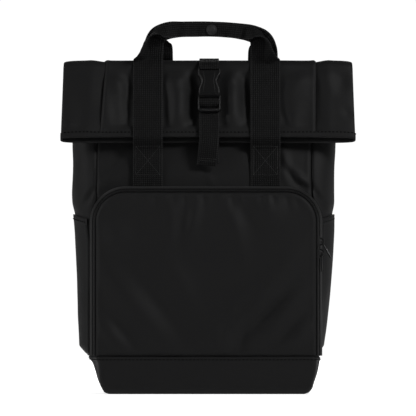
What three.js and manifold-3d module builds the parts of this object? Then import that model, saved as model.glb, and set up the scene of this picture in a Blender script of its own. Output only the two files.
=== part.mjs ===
// A rolltop backpack that stands on its base, in millimetres: front towards -Y, back towards +Y, +Z up.
// The origin is the middle of the base. The bag is sewn from panels of coated cloth round a boat-shaped
// base. Its mouth is pressed flat and folded forward once, and a buckled strap holds it down. A zipped
// pocket covers the lower front, a slip pocket each side, and two webbing handles meet above the fold.
import * as THREE from "three";
import { mergeVertices } from "three/addons/utils/BufferGeometryUtils.js";
import Module from "manifold-3d";

const wasm = await Module();
wasm.setup();

// Cloth, webbing and the clearance between sewn pieces
const WALL = 2;
const SEAM_GAP = 0.4;
const WEB_THICK = 1.8;
const HANDLE_WEB = 38;
const STRAP_WEB = 25;

// Main compartment
const BODY_DEPTH = 96;
const BODY_WIDTH = 332;
const PANEL_WIDTH = 274;
const FRONT_BULGE = 9;
const BACK_BULGE = 3;

// Boat-shaped base
const BASE_HEIGHT = 48;
const BASE_FLOOR = 2.5;

// Folded mouth
const ROLL_TOP = 423.5;
const FLAP_DROP = 93;
const FOLD_BACK_INSET = 46;
const FOLD_CORE = 4;
const THROAT = 6;
const MOUTH_WIDTH = 373;
const PRESSED_POWER = 0.5;
const FLAP_REST = 4;
const INNER_DROP = 4;
const BINDING_LENGTH = 8;
const BINDING_PROUD = 0.8;
const SHOULDER_UP = 300;
const PUFF_RISE = 7;

// Zipped front pocket
const POCKET_WIDTH = 279;
const POCKET_SHIFT = -2.5;
const POCKET_DEPTH = 40;
const POCKET_TOP = 264;
const POCKET_CORNER = 38;
const POCKET_FLARE = 5.5;
const POCKET_CROWN = 7;
const FOLD_RISE = 1.6;
const ZIP_RECESS = 0.8;

// Slip pockets at the sides
const SIDE_POCKET_TOP = 225;
const SIDE_POCKET_FOOT = 50;
const SIDE_POCKET_ROOM = 7.5;
const SIDE_HEM = 8;
const SIDE_HEM_PROUD = 0.8;
const RECESS_FADE = 20;

// Webbing handles
const HANDLE_SPAN = 149;
const HANDLE_SHIFT = -1.7;
const HANDLE_RISE = 49;
const REAR_LEG_SPAN = 133.3;
const REAR_LEG_SHIFT = 3.1;
const FOLD_RADIUS = 1.6;
const STITCH_LENGTH = 43;
const STUD_RADIUS = 6.8;
const STUD_SHIFT = 4.5;
const POST_RADIUS = 2;

// Side-release buckle and its strap
const BUCKLE_SHIFT = 1.5;
const BUCKLE_WIDTH = 29;
const SOCKET_LENGTH = 40;
const CLIP_LENGTH = 22;
const BUCKLE_THICK = 8.5;
const BUCKLE_BELOW_TOP = 3;
const PLASTIC = 2.2;
const BUCKLE_REST = 1.6;
const TAIL_HANG = 32;

// Zip sliders and their pullers
const SLIDER_UP = 186;
const SLIDER_LENGTH = 13;
const SLIDER_WIDTH = 7.6;
const SLIDER_THICK = 3;
const PULLER_LENGTH = 24;
const PULLER_WIDTH = 6;
const PULLER_THICK = 1.4;
const UPPER_PULLER_LEAN = 29;

// Padded shoulder straps behind the bag
const PAD_WIDTH = 62;
const PAD_THICK = 10;
const PAD_STANDOFF = 34;
const PAD_TOP = 352;
const PAD_FOOT = 146;
const YOKE_HEIGHT = 34;
const ADJUSTER_HEIGHT = 24;
const ANCHOR_UP = 62;
const ANCHOR_OUT = 118;
const STRAP_TAIL = 46;

const cloth = { color: 0x1c1c1d, roughness: 0.72, metalness: 0 };
const webbing = { color: 0x0c0c0d, roughness: 0.9, metalness: 0 };
const plastic = { color: 0x101011, roughness: 0.45, metalness: 0 };
const metal = { color: 0x1a1a1b, roughness: 0.4, metalness: 0.6 };
const padding = { color: 0x151516, roughness: 0.85, metalness: 0 };

// Levels of the bag in depth, worked out from the sizes above
const BACK_Y = (BODY_DEPTH + POCKET_DEPTH) / 2;
const FRONT_Y = BACK_Y - BODY_DEPTH;
const FACE_Y = FRONT_Y - POCKET_DEPTH;
const FOLD_OUTER = FOLD_CORE + 2 * WALL + THROAT;
const FOLD = { y: BACK_Y - FOLD_BACK_INSET, z: ROLL_TOP - FOLD_OUTER };
const BODY_FOOT = BASE_HEIGHT + SEAM_GAP;
const HALF_MOUTH = MOUTH_WIDTH / 2;
const HALF_PANEL = PANEL_WIDTH / 2;
const HALF_BODY = BODY_WIDTH / 2;
const RIGHT_ANGLE = Math.PI / 2;

// Reach of the body to each side, as shares: up of the roll's height, left and right of half the body's
// width, seamLeft and seamRight of half the panel's width.
const BODY_SHAPE = [
  { up: 0.0, left: 0.965, right: 0.86, seamLeft: 1.073, seamRight: 1.044 },
  { up: 0.113, left: 0.982, right: 0.88, seamLeft: 1.073, seamRight: 1.044 },
  { up: 0.236, left: 0.997, right: 0.918, seamLeft: 1.066, seamRight: 1.034 },
  { up: 0.354, left: 1.006, right: 0.949, seamLeft: 1.055, seamRight: 1.015 },
  { up: 0.472, left: 1.018, right: 0.967, seamLeft: 1.045, seamRight: 0.99 },
  { up: 0.531, left: 1.033, right: 0.967, seamLeft: 1.036, seamRight: 0.974 },
  { up: 0.756, left: 1.033, right: 0.967, seamLeft: 1.03, seamRight: 0.956 },
  { up: 1.0, left: 1.033, right: 0.967, seamLeft: 1.0, seamRight: 1.0 },
];
// Reach of the pressed mouth along the fold, 1 where the fold begins and 3 at the mouth, share of its half
const MOUTH_SHAPE = [
  { along: 0, reach: 0.95 },
  { along: 1, reach: 0.978 },
  { along: 2, reach: 0.986 },
  { along: 3, reach: 1.0 },
];
// Levels of the base: up as a share of its height, left, right and shallow (in depth) as shares of its rim,
// bulge of its sides
const BASE_SHAPE = [
  { up: 0.0, left: 0.855, right: 0.86, shallow: 0.84, bulge: 0 },
  { up: 0.03, left: 0.883, right: 0.89, shallow: 0.88, bulge: 0 },
  { up: 0.1, left: 0.905, right: 0.915, shallow: 0.93, bulge: 0.05 },
  { up: 0.3, left: 0.934, right: 0.943, shallow: 0.965, bulge: 0.2 },
  { up: 0.62, left: 0.957, right: 0.978, shallow: 0.99, bulge: 0.5 },
  { up: 0.8, left: 0.969, right: 0.99, shallow: 0.996, bulge: 0.72 },
  { up: 1.0, left: 1.0, right: 1.0, shallow: 1.0, bulge: 1.0 },
];
// Puffs of the flap between the straps: across as a share of half the mouth, along the flap from 0 at the
// fold to 1 at the mouth, rise as a share of the largest puff, wide and tall as shares of mouth and flap
const FLAP_PUFFS = [
  { across: -0.187, along: 0.42, rise: 1.0, wide: 0.1, tall: 0.75 },
  { across: 0.187, along: 0.42, rise: 0.9, wide: 0.1, tall: 0.75 },
  { across: -0.62, along: 0.4, rise: 0.75, wide: 0.1, tall: 0.8 },
  { across: 0.62, along: 0.4, rise: 0.75, wide: 0.1, tall: 0.8 },
];
// Columns of points across the back panel and the flap, as shares of half the panel: they frame the puffs
const PANEL_COLUMNS = [0, 0.1, 0.17, 0.25, 0.33, 0.4, 0.55, 0.69, 0.76, 0.84, 0.92, 1];
// Soft folds of the pocket's face: across as a share of half its width, from its foot (0) to its top (1),
// lean across per height, rise as a share of the largest fold, wide as a share of half its width
const POCKET_FOLDS = [
  { across: -0.2, low: 0.3, top: 1.0, lean: 0.22, rise: 1.0, wide: 0.09 },
  { across: 0.12, low: 0.45, top: 1.0, lean: -0.3, rise: 1.0, wide: 0.08 },
  { across: -0.3, low: 0.0, top: 0.55, lean: -0.55, rise: 0.8, wide: 0.13 },
  { across: 0.34, low: 0.0, top: 0.5, lean: 0.6, rise: 0.8, wide: 0.12 },
];

const lerp = THREE.MathUtils.lerp;
const smooth = (x) => THREE.MathUtils.smoothstep(x, 0, 1);
const radians = THREE.MathUtils.degToRad;
const bell = (x) => Math.exp(-x * x / 2);
const hill = (x) => Math.max(0, 1 - x * x) ** 2;

// A table's column at a position between its rows.
function readTable(table, key, column, at) {
  let i = 0;
  while (i < table.length - 2 && at > table[i + 1][key]) i++;
  const share = (at - table[i][key]) / (table[i + 1][key] - table[i][key]);
  return lerp(table[i][column], table[i + 1][column], THREE.MathUtils.clamp(share, 0, 1));
}

// A geometry from points and faces, turned so that its faces point out.
function closedGeometry(points, faces) {
  let volume = 0;
  for (const [a, b, c] of faces) {
    volume += points[a].dot(new THREE.Vector3().crossVectors(points[b], points[c]));
  }
  const flat = faces.flatMap(([a, b, c]) => (volume < 0 ? [a, c, b] : [a, b, c]));
  const geometry = new THREE.BufferGeometry();
  geometry.setAttribute("position", new THREE.Float32BufferAttribute(points.flatMap((p) => p.toArray()), 3));
  geometry.setIndex(flat);
  return geometry;
}

// A cloth wall: an outer and an inner grid of points, each rows by columns, closed along its four edges.
function sheetSolid(rows, columns, outer, inner) {
  const points = [];
  for (const side of [outer, inner]) {
    for (let i = 0; i <= rows; i++) {
      for (let j = 0; j <= columns; j++) points.push(side(i / rows, j / columns));
    }
  }
  const stride = columns + 1;
  const half = (rows + 1) * stride;
  const at = (side, i, j) => side * half + i * stride + j;
  const faces = [];
  const quad = (a, b, c, d) => faces.push([a, b, c], [a, c, d]);
  for (let i = 0; i < rows; i++) {
    for (let j = 0; j < columns; j++) {
      quad(at(0, i, j), at(0, i, j + 1), at(0, i + 1, j + 1), at(0, i + 1, j));
      quad(at(1, i, j), at(1, i + 1, j), at(1, i + 1, j + 1), at(1, i, j + 1));
    }
    quad(at(0, i, 0), at(0, i + 1, 0), at(1, i + 1, 0), at(1, i, 0));
    quad(at(0, i, columns), at(1, i, columns), at(1, i + 1, columns), at(0, i + 1, columns));
  }
  for (let j = 0; j < columns; j++) {
    quad(at(0, 0, j), at(1, 0, j), at(1, 0, j + 1), at(0, 0, j + 1));
    quad(at(0, rows, j), at(0, rows, j + 1), at(1, rows, j + 1), at(1, rows, j));
  }
  return closedGeometry(points, faces);
}

// A solid through a list of closed rings of points. It is capped at both ends, or joined into a loop.
function ringSolid(rings, loop = false) {
  const count = rings[0].length;
  const points = rings.flat();
  const faces = [];
  const spans = loop ? rings.length : rings.length - 1;
  for (let i = 0; i < spans; i++) {
    const next = (i + 1) % rings.length;
    for (let j = 0; j < count; j++) {
      const k = (j + 1) % count;
      faces.push([i * count + j, i * count + k, next * count + k]);
      faces.push([i * count + j, next * count + k, next * count + j]);
    }
  }
  if (!loop) {
    for (const [ring, turn] of [[0, 1], [rings.length - 1, -1]]) {
      const middle = rings[ring].reduce((sum, p) => sum.add(p), new THREE.Vector3()).divideScalar(count);
      points.push(middle);
      for (let j = 0; j < count; j++) {
        const k = (j + 1) % count;
        const corner = [ring * count + j, ring * count + k];
        faces.push(turn > 0 ? [points.length - 1, corner[1], corner[0]] : [points.length - 1, ...corner]);
      }
    }
  }
  return closedGeometry(points, faces);
}

function toSolid(geometry) {
  const bare = geometry.index ? geometry.toNonIndexed() : geometry.clone();
  bare.deleteAttribute("normal");
  bare.deleteAttribute("uv");
  const merged = mergeVertices(bare, 1e-4);
  return new wasm.Manifold(new wasm.Mesh({
    numProp: 3,
    vertProperties: merged.attributes.position.array,
    triVerts: new Uint32Array(merged.index.array),
  }));
}

function toGeometry(solid) {
  const mesh = solid.getMesh();
  const geometry = new THREE.BufferGeometry();
  geometry.setAttribute("position", new THREE.BufferAttribute(mesh.vertProperties, 3));
  geometry.setIndex(new THREE.BufferAttribute(mesh.triVerts, 1));
  return geometry;
}

const join = (...shapes) => toGeometry(shapes.map(toSolid).reduce((a, b) => a.add(b)));
const cut = (shape, ...tools) => toGeometry(tools.map(toSolid).reduce((a, b) => a.subtract(b), toSolid(shape)));
const box = (w, d, h, x = 0, y = 0, z = 0) => new THREE.BoxGeometry(w, d, h).translate(x, y, z);

const bag = new THREE.Group();

function addPiece(name, geometry, finish, parent = bag) {
  const mesh = new THREE.Mesh(geometry, new THREE.MeshStandardMaterial(finish));
  mesh.name = name;
  parent.add(mesh);
  return mesh;
}

// The angle about the fold's centre, from +Y towards +Z, at which a line from a point touches a circle.
function touchAngle(y, z, radius, turn) {
  const dy = y - FOLD.y;
  const dz = z - FOLD.z;
  return Math.atan2(dz, dy) + turn * Math.acos(radius / Math.hypot(dy, dz));
}

// Each layer of the bag's tube is followed by its outside face: up the body (0 to 1), round the fold
// (1 to 2) and down the flap (2 to 3). The front layer lies inside the fold, the back layer outside it.
const LAYERS = {
  front: { base: FRONT_Y, shoulder: POCKET_TOP, radius: FOLD_CORE, out: -1, extra: INNER_DROP },
  back: { base: BACK_Y, shoulder: SHOULDER_UP, radius: FOLD_OUTER, out: 1, extra: 0 },
};
for (const layer of Object.values(LAYERS)) {
  layer.from = touchAngle(layer.base, layer.shoulder, layer.radius, 1);
  layer.endY = FOLD.y + layer.radius * Math.cos(layer.from);
  layer.endZ = FOLD.z + layer.radius * Math.sin(layer.from);
}

// A layer's depth at a height below the fold: upright, then leaning to the fold through a soft bend.
function layerY(layer, z) {
  const softness = 0.25;
  const share = (z - layer.shoulder) / (layer.endZ - layer.shoulder);
  const bend = share < -softness ? 0 : share > softness ? share : (share + softness) ** 2 / (4 * softness);
  return layer.base + (layer.endY - layer.base) * bend;
}

const FLAP_FOOT = ROLL_TOP - FLAP_DROP;
const restY = layerY(LAYERS.front, FLAP_FOOT) - FRONT_BULGE - FLAP_REST;
const flapTurn = touchAngle(restY, FLAP_FOOT, FOLD_CORE, -1) + 2 * Math.PI;
const flapWay = { y: -Math.sin(flapTurn), z: Math.cos(flapTurn) };
const flapOut = { y: Math.cos(flapTurn), z: Math.sin(flapTurn) };
const flapLength = FLAP_DROP / -flapWay.z - FOLD_OUTER;

function layerPoint(layer, t) {
  if (t <= 1) {
    const z = t < 0 ? lerp(BODY_FOOT, BASE_FLOOR + SEAM_GAP, -t) : lerp(BODY_FOOT, layer.endZ, t);
    return { y: layerY(layer, z), z };
  }
  const angle = lerp(layer.from, flapTurn, Math.min(t - 1, 1));
  const down = Math.max(t - 2, 0) * (flapLength + layer.extra);
  return {
    y: FOLD.y + layer.radius * Math.cos(angle) + down * flapWay.y,
    z: FOLD.z + layer.radius * Math.sin(angle) + down * flapWay.z,
  };
}

// The unit direction out of the bag at a layer's outside face.
function layerOut(layer, t) {
  if (t >= 2) return { y: layer.out * flapOut.y, z: layer.out * flapOut.z };
  const a = layerPoint(layer, t - 0.01);
  const b = layerPoint(layer, t + 0.01);
  const length = Math.hypot(b.y - a.y, b.z - a.z);
  return { y: layer.out * (b.z - a.z) / length, z: layer.out * (a.y - b.y) / length };
}

const bodyReach = (column, z) => readTable(BODY_SHAPE, "up", column, z / ROLL_TOP);
const rollShare = (z) => smooth((z - (BODY_FOOT + ROLL_TOP) / 2 - BASE_HEIGHT) / (FOLD.z - POCKET_TOP));

// Half widths of the tube at a place along it, to the seams and to the folded edges of the sides, and the
// power of the sides' section: 1 is round, and less is squarer, as where the mouth is pressed flat.
function spread(side, t) {
  const name = side < 0 ? "left" : "right";
  const seamName = side < 0 ? "seamLeft" : "seamRight";
  const mouth = HALF_MOUTH * readTable(MOUTH_SHAPE, "along", "reach", t);
  if (t >= 1) return { seam: HALF_PANEL, edge: mouth, power: PRESSED_POWER };
  const z = lerp(BODY_FOOT, FOLD.z, t);
  const pressed = rollShare(z);
  return {
    seam: lerp(bodyReach(seamName, z) * HALF_PANEL, HALF_PANEL, pressed),
    edge: lerp(bodyReach(name, z) * HALF_BODY, mouth, pressed),
    power: lerp(1, PRESSED_POWER, pressed),
  };
}

// How far the body is pressed in behind a slip pocket, at a height.
function pocketRecess(z) {
  return (SIDE_POCKET_ROOM + WALL + SEAM_GAP) * (1 - smooth((z - SIDE_POCKET_TOP) / RECESS_FADE));
}

// A point of a side panel: t along the tube, angle from the front seam (-90) to the back seam (90).
function sidePoint(side, t, angle, inset, pressedIn = pocketRecess(lerp(BODY_FOOT, FOLD.z, Math.min(t, 1)))) {
  const f = layerPoint(LAYERS.front, t);
  const b = layerPoint(LAYERS.back, t);
  const { seam, edge, power } = spread(side, t);
  const halfDepth = Math.hypot(b.y - f.y, b.z - f.z) / 2;
  const across = Math.sign(angle) * Math.abs(Math.sin(angle)) ** power;
  const reach = (across * (halfDepth - inset)) / halfDepth;
  const out = seam + SEAM_GAP / 2 + (edge - pressedIn - seam - inset) * Math.max(0, Math.cos(angle)) ** power;
  return new THREE.Vector3(
    side * out,
    (f.y + b.y) / 2 + reach * (b.y - f.y) / 2,
    (f.z + b.z) / 2 + reach * (b.z - f.z) / 2,
  );
}

// How far a layer puffs out at a place along the tube and across it.
function puff(layer, t, x) {
  if (t > 2) {
    if (layer.out < 0) return 0;
    const sum = FLAP_PUFFS.reduce((total, row) => total + row.rise
      * hill((x / HALF_MOUTH - row.across) / row.wide) * hill((t - 2 - row.along) / row.tall), 0);
    return PUFF_RISE * sum * smooth((t - 2) * 4) * smooth((3 - t) * 4);
  }
  if (t < 0 || t > 1) return 0;
  const most = layer.out < 0 ? FRONT_BULGE : BACK_BULGE;
  return most * Math.max(0, 1 - (x / HALF_PANEL) ** 2) * Math.sin(Math.PI * t) ** 0.7;
}

// A point of the front or back panel: t along the tube, x across it.
function panelPoint(layer, t, x, inset) {
  const p = layerPoint(layer, t);
  const out = layerOut(layer, t);
  const move = puff(layer, t, x) - inset;
  return new THREE.Vector3(x, p.y + out.y * move, p.z + out.z * move);
}

// Depth of the outside face of the front or back panel at a height below the fold.
function panelY(layer, x, z) {
  const t = (z - BODY_FOOT) / (layer.endZ - BODY_FOOT);
  return layerY(layer, z) + layer.out * puff(layer, t, x);
}

// Steps along the tube, closer round the fold.
const steps = (list) => (share) => {
  const place = share * (list.length - 1);
  const i = Math.min(Math.floor(place), list.length - 2);
  return lerp(list[i], list[i + 1], place - i);
};
const range = (from, to, count) => Array.from({ length: count }, (_, i) => lerp(from, to, i / count));
const bodyHeights = [...range(BODY_FOOT, SIDE_POCKET_TOP, 4), SIDE_POCKET_TOP,
  SIDE_POCKET_TOP + RECESS_FADE / 2, ...range(SIDE_POCKET_TOP + RECESS_FADE, FOLD.z, 4)];
const bodySteps = [...bodyHeights.map((z) => (z - BODY_FOOT) / (FOLD.z - BODY_FOOT)),
  ...range(1, 2, 6), ...range(2, 3, 5), 3];

function addBodyPanels() {
  const panelEdges = (t) => [-spread(-1, t).seam + SEAM_GAP / 2, spread(1, t).seam - SEAM_GAP / 2];
  const along = steps(bodySteps);
  const columns = [...PANEL_COLUMNS.slice(1).reverse().map((c) => -c), ...PANEL_COLUMNS];
  const across = steps(columns);
  const back = (inset) => (u, v) => {
    const t = along(u);
    return panelPoint(LAYERS.back, t, lerp(...panelEdges(t), (1 + across(v)) / 2), inset);
  };
  addPiece("back_panel", sheetSolid(bodySteps.length - 1, columns.length - 1, back(0), back(WALL)), cloth);

  // The front panel goes on down to the floor of the base, narrower there so that it stands inside it.
  const notch = 0.002;
  const frontSteps = [-1, -0.88, -0.5, -notch, ...bodySteps];
  const alongFront = steps(frontSteps);
  const front = (inset) => (u, v) => {
    const t = alongFront(u);
    const edges = panelEdges(Math.max(t, 0));
    const p = panelPoint(LAYERS.front, t, lerp(...edges, v), inset);
    if (t < 0) p.x *= baseLevel(p.x < 0 ? "left" : "right", p.z) - (2 * WALL + SEAM_GAP) / HALF_PANEL;
    return p;
  };
  addPiece("front_panel", sheetSolid(frontSteps.length - 1, 8, front(0), front(WALL)), cloth);

  for (const [name, side] of [["left", -1], ["right", 1]]) {
    const wall = (inset) => (u, v) => sidePoint(side, along(u), lerp(-RIGHT_ANGLE, RIGHT_ANGLE, v), inset);
    addPiece("side_panel_" + name, sheetSolid(bodySteps.length - 1, 8, wall(0), wall(WALL)), cloth);
  }
}

// The bound edge of the mouth: a band right round both layers, a little thicker than the cloth.
function addMouthBinding() {
  const seam = HALF_PANEL;
  const round = [];
  const panelCount = 8;
  const sideCount = 8;
  for (let i = 0; i <= panelCount; i++) {
    round.push((inset) => panelPoint(LAYERS.back, 3, lerp(-seam, seam, i / panelCount), inset));
  }
  for (let i = 1; i < sideCount; i++) {
    const angle = lerp(RIGHT_ANGLE, -RIGHT_ANGLE, i / sideCount);
    round.push((inset) => sidePoint(1, 3, angle, inset, 0));
  }
  for (let i = 0; i <= panelCount; i++) {
    round.push((inset) => panelPoint(LAYERS.front, 3, lerp(seam, -seam, i / panelCount), inset));
  }
  for (let i = 1; i < sideCount; i++) {
    const angle = lerp(-RIGHT_ANGLE, RIGHT_ANGLE, i / sideCount);
    round.push((inset) => sidePoint(-1, 3, angle, inset, 0));
  }
  const start = 2 * SEAM_GAP;
  const corners = [
    [-BINDING_PROUD, start],
    [-BINDING_PROUD, start + BINDING_LENGTH],
    [WALL + BINDING_PROUD, start + BINDING_LENGTH],
    [WALL + BINDING_PROUD, start],
  ];
  const rings = round.map((point) => corners.map(([inset, down]) => {
    const p = point(inset);
    return p.add(new THREE.Vector3(0, down * flapWay.y, down * flapWay.z));
  }));
  addPiece("mouth_binding", ringSolid(rings, true), cloth);
}

const faceEdge = (side) => POCKET_WIDTH / 2 + side * POCKET_SHIFT;
const baseLevel = (column, z) => readTable(BASE_SHAPE, "up", column, z / BASE_HEIGHT);

// How far the pocket's face stands out: a crown, and soft folds that lean across it.
function pocketRise(x, z) {
  const across = (x - POCKET_SHIFT) / (POCKET_WIDTH / 2);
  const up = (z - BASE_HEIGHT) / (POCKET_TOP - BASE_HEIGHT);
  const crown = POCKET_CROWN * Math.max(0, 1 - across ** 4) * Math.max(0, 1 - Math.abs(2 * up - 1) ** 3);
  const edge = Math.max(0, (1 - across ** 6) * (1 - Math.abs(2 * up - 1) ** 8));
  const folds = POCKET_FOLDS.reduce((total, row) => {
    const middle = row.across + row.lean * (up - (row.low + row.top) / 2);
    const share = THREE.MathUtils.clamp((up - row.low) / (row.top - row.low), 0, 1);
    return total + row.rise * bell((across - middle) / row.wide) * Math.sin(Math.PI * share);
  }, 0);
  return crown + FOLD_RISE * folds * edge;
}

// The rim of the base seen from above, from the pocket's left corner round by the right.
function baseRim(bulge) {
  const rim = [];
  const faceCount = 12;
  for (let i = 0; i <= faceCount; i++) {
    rim.push([lerp(-faceEdge(-1), faceEdge(1), i / faceCount), FACE_Y]);
  }
  const sideCount = 8;
  const addSide = (side, turn) => {
    for (let i = turn > 0 ? 0 : sideCount; turn > 0 ? i <= sideCount : i >= 0; i += turn) {
      const angle = lerp(-RIGHT_ANGLE, RIGHT_ANGLE, i / sideCount);
      const p = sidePoint(side, 0, angle, 0);
      const seam = side * spread(side, 0).seam;
      rim.push([seam + (p.x - seam) * bulge, p.y]);
    }
  };
  addSide(1, 1);
  const backCount = 8;
  for (let i = 1; i < backCount; i++) {
    rim.push([lerp(spread(1, 0).seam, -spread(-1, 0).seam, i / backCount), BACK_Y]);
  }
  addSide(-1, -1);
  return rim;
}

// A ring drawn in by the same distance all round.
function insetRing(ring, distance) {
  return ring.map(([x, y], i) => {
    const [px, py] = ring[(i + ring.length - 1) % ring.length];
    const [nx, ny] = ring[(i + 1) % ring.length];
    const before = Math.hypot(x - px, y - py);
    const after = Math.hypot(nx - x, ny - y);
    const a = [-(y - py) / before, (x - px) / before];
    const b = [-(ny - y) / after, (nx - x) / after];
    const scale = distance / (1 + a[0] * b[0] + a[1] * b[1]);
    return [x + (a[0] + b[0]) * scale, y + (a[1] + b[1]) * scale];
  });
}

function addBase() {
  const level = (row) => baseRim(row.bulge)
    .map(([x, y]) => [x * (x < 0 ? row.left : row.right), y * row.shallow]);
  const lift = (ring, z) => ring.map(([x, y]) => new THREE.Vector3(x, y, z));
  const outside = BASE_SHAPE.map((row) => lift(level(row), row.up * BASE_HEIGHT));
  const inside = BASE_SHAPE.filter((row) => row.up * BASE_HEIGHT > BASE_FLOOR).reverse()
    .map((row) => lift(insetRing(level(row), WALL), row.up * BASE_HEIGHT));
  const floor = lift(insetRing(level(BASE_SHAPE[1]), WALL), BASE_FLOOR);
  addPiece("base_panel", ringSolid([...outside, ...inside, floor]), cloth);
}

// The pocket's outline seen from the front, from its left foot over the top to its right foot.
function pocketOutline(share, flare) {
  const corner = POCKET_CORNER + flare;
  const left = -faceEdge(-1) - flare;
  const right = faceEdge(1) + flare;
  const top = POCKET_TOP - POCKET_FLARE + flare;
  const upright = top - corner - BODY_FOOT;
  const marks = [0, 0.2, 0.4, 0.6, 0.8, 1];
  if (share < marks[1]) return [left, BODY_FOOT + upright * (share / marks[1])];
  if (share > marks[4]) return [right, BODY_FOOT + upright * ((1 - share) / marks[1])];
  if (share < marks[2]) {
    const turn = RIGHT_ANGLE * (share - marks[1]) / (marks[2] - marks[1]);
    return [left + corner * (1 - Math.cos(turn)), top - corner * (1 - Math.sin(turn))];
  }
  if (share > marks[3]) {
    const turn = RIGHT_ANGLE * (marks[4] - share) / (marks[4] - marks[3]);
    return [right - corner * (1 - Math.cos(turn)), top - corner * (1 - Math.sin(turn))];
  }
  return [lerp(left + corner, right - corner, (share - marks[2]) / (marks[3] - marks[2])), top];
}

// Depth of the pocket's gusset from its face (0) to the panel behind it (1), at a place on the outline.
function gussetY(share, deep) {
  const [x, z] = pocketOutline(share, POCKET_FLARE);
  return lerp(FACE_Y + WALL + SEAM_GAP, panelY(LAYERS.front, x, z) - 2 * SEAM_GAP, deep);
}

const ZIP_FRONT = 0.27;
const ZIP_BACK = 0.52;
const gussetStep = SEAM_GAP / POCKET_DEPTH;

function gussetPoint(share, deep, inset) {
  const [x, z] = pocketOutline(share, POCKET_FLARE * deep - inset);
  return new THREE.Vector3(x, gussetY(share, deep), z);
}

// The gusset's steps: few up the sides, seven round each corner.
const gussetSteps = [...range(0, 0.2, 3), ...range(0.2, 0.4, 6), ...range(0.4, 0.6, 6), ...range(0.6, 0.8, 6),
  ...range(0.8, 1, 3), 1];

function addPocket() {
  const rows = [...range(0, 0.82, 8), ...range(0.82, 1, 6), 1];
  const alongFace = steps(rows);
  const face = (inset) => (u, v) => {
    const z = lerp(BODY_FOOT, POCKET_TOP - POCKET_FLARE, alongFace(u));
    const above = Math.max(0, z - (POCKET_TOP - POCKET_FLARE - POCKET_CORNER));
    const drawn = POCKET_CORNER - Math.sqrt(Math.max(0, POCKET_CORNER ** 2 - above ** 2));
    const x = lerp(-faceEdge(-1) + drawn, faceEdge(1) - drawn, v);
    return new THREE.Vector3(x, FACE_Y - pocketRise(x, z) + inset, z);
  };
  addPiece("pocket_face", sheetSolid(rows.length - 1, 14, face(0), face(WALL)), cloth);

  const along = steps(gussetSteps);
  const strip = (from, to, recess) => {
    const wall = (inset) => (u, v) => gussetPoint(along(u), lerp(from, to, v), inset);
    return sheetSolid(gussetSteps.length - 1, 1, wall(recess), wall(recess + WALL));
  };
  addPiece("pocket_gusset_front", strip(0, ZIP_FRONT, 0), cloth);
  addPiece("pocket_zip_tape", strip(ZIP_FRONT + gussetStep, ZIP_BACK - gussetStep, ZIP_RECESS), webbing);
  addPiece("pocket_gusset_back", strip(ZIP_BACK, 1, 0), cloth);
}

// Slip pockets: sewn to the side panel at the foot and both edges, open at the hem.
const SIDE_POCKET_ANGLE = radians(67.5);

function sidePocketPoint(side, z, angle, inset) {
  const t = (z - BODY_FOOT) / (FOLD.z - BODY_FOOT);
  const { edge, seam } = spread(side, t);
  const open = (1 - (angle / SIDE_POCKET_ANGLE) ** 4) * smooth((z - SIDE_POCKET_FOOT) / (1.5 * SIDE_HEM));
  const outward = new THREE.Vector3(
    side * Math.cos(angle) * BODY_DEPTH / 2, Math.sin(angle) * (edge - seam), 0).normalize();
  const onSkin = sidePoint(side, t, angle, 0).addScaledVector(outward, 2 * SEAM_GAP + WALL);
  return onSkin.lerp(sidePoint(side, t, angle, 0, 0), open).addScaledVector(outward, -inset);
}

function addSidePockets() {
  const hemFoot = SIDE_POCKET_TOP - SIDE_HEM;
  for (const [name, side] of [["left", -1], ["right", 1]]) {
    const wall = (from, to, inset) => (u, v) => sidePocketPoint(side, lerp(from, to, u),
      lerp(-SIDE_POCKET_ANGLE, SIDE_POCKET_ANGLE, v), inset);
    addPiece("side_pocket_" + name, sheetSolid(7, 6,
      wall(SIDE_POCKET_FOOT, hemFoot - SEAM_GAP, 0), wall(SIDE_POCKET_FOOT, hemFoot - SEAM_GAP, WALL)), cloth);
    addPiece("side_pocket_hem_" + name, sheetSolid(1, 6,
      wall(hemFoot, SIDE_POCKET_TOP, -SIDE_HEM_PROUD), wall(hemFoot, SIDE_POCKET_TOP, WALL)), cloth);
  }
}

// A flat strap along a list of stations: each has the middle of the strap, and across, a unit direction.
function strapSolid(stations, width, thick) {
  const rings = stations.map(({ middle, across }, i) => {
    const before = stations[Math.max(i - 1, 0)].middle;
    const after = stations[Math.min(i + 1, stations.length - 1)].middle;
    const way = after.clone().sub(before).normalize();
    const face = new THREE.Vector3().crossVectors(way, across).normalize();
    return [[-1, -1], [1, -1], [1, 1], [-1, 1]].map(([a, b]) => middle.clone()
      .addScaledVector(across, a * width / 2).addScaledVector(face, b * thick / 2));
  });
  return ringSolid(rings);
}

// Webbing lies this far, by its middle, from the face that it is sewn to or lies on.
const WEB_LIFT = WEB_THICK / 2 + SEAM_GAP;
const bindingFace = (down, off = 0) => {
  const out = BINDING_PROUD + WEB_LIFT + off;
  const end = layerPoint(LAYERS.back, 3);
  return [end.y + out * flapOut.y + down * flapWay.y, end.z + out * flapOut.z + down * flapWay.z];
};
// A point over the flap's face: along from the fold (0) to the mouth (1), out from the face.
const overFlap = (along, out) => {
  const p = layerPoint(LAYERS.back, 2 + along);
  return [p.y + out * flapOut.y, p.z + out * flapOut.z];
};
const bindingEnd = 2 * SEAM_GAP + BINDING_LENGTH;

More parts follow.
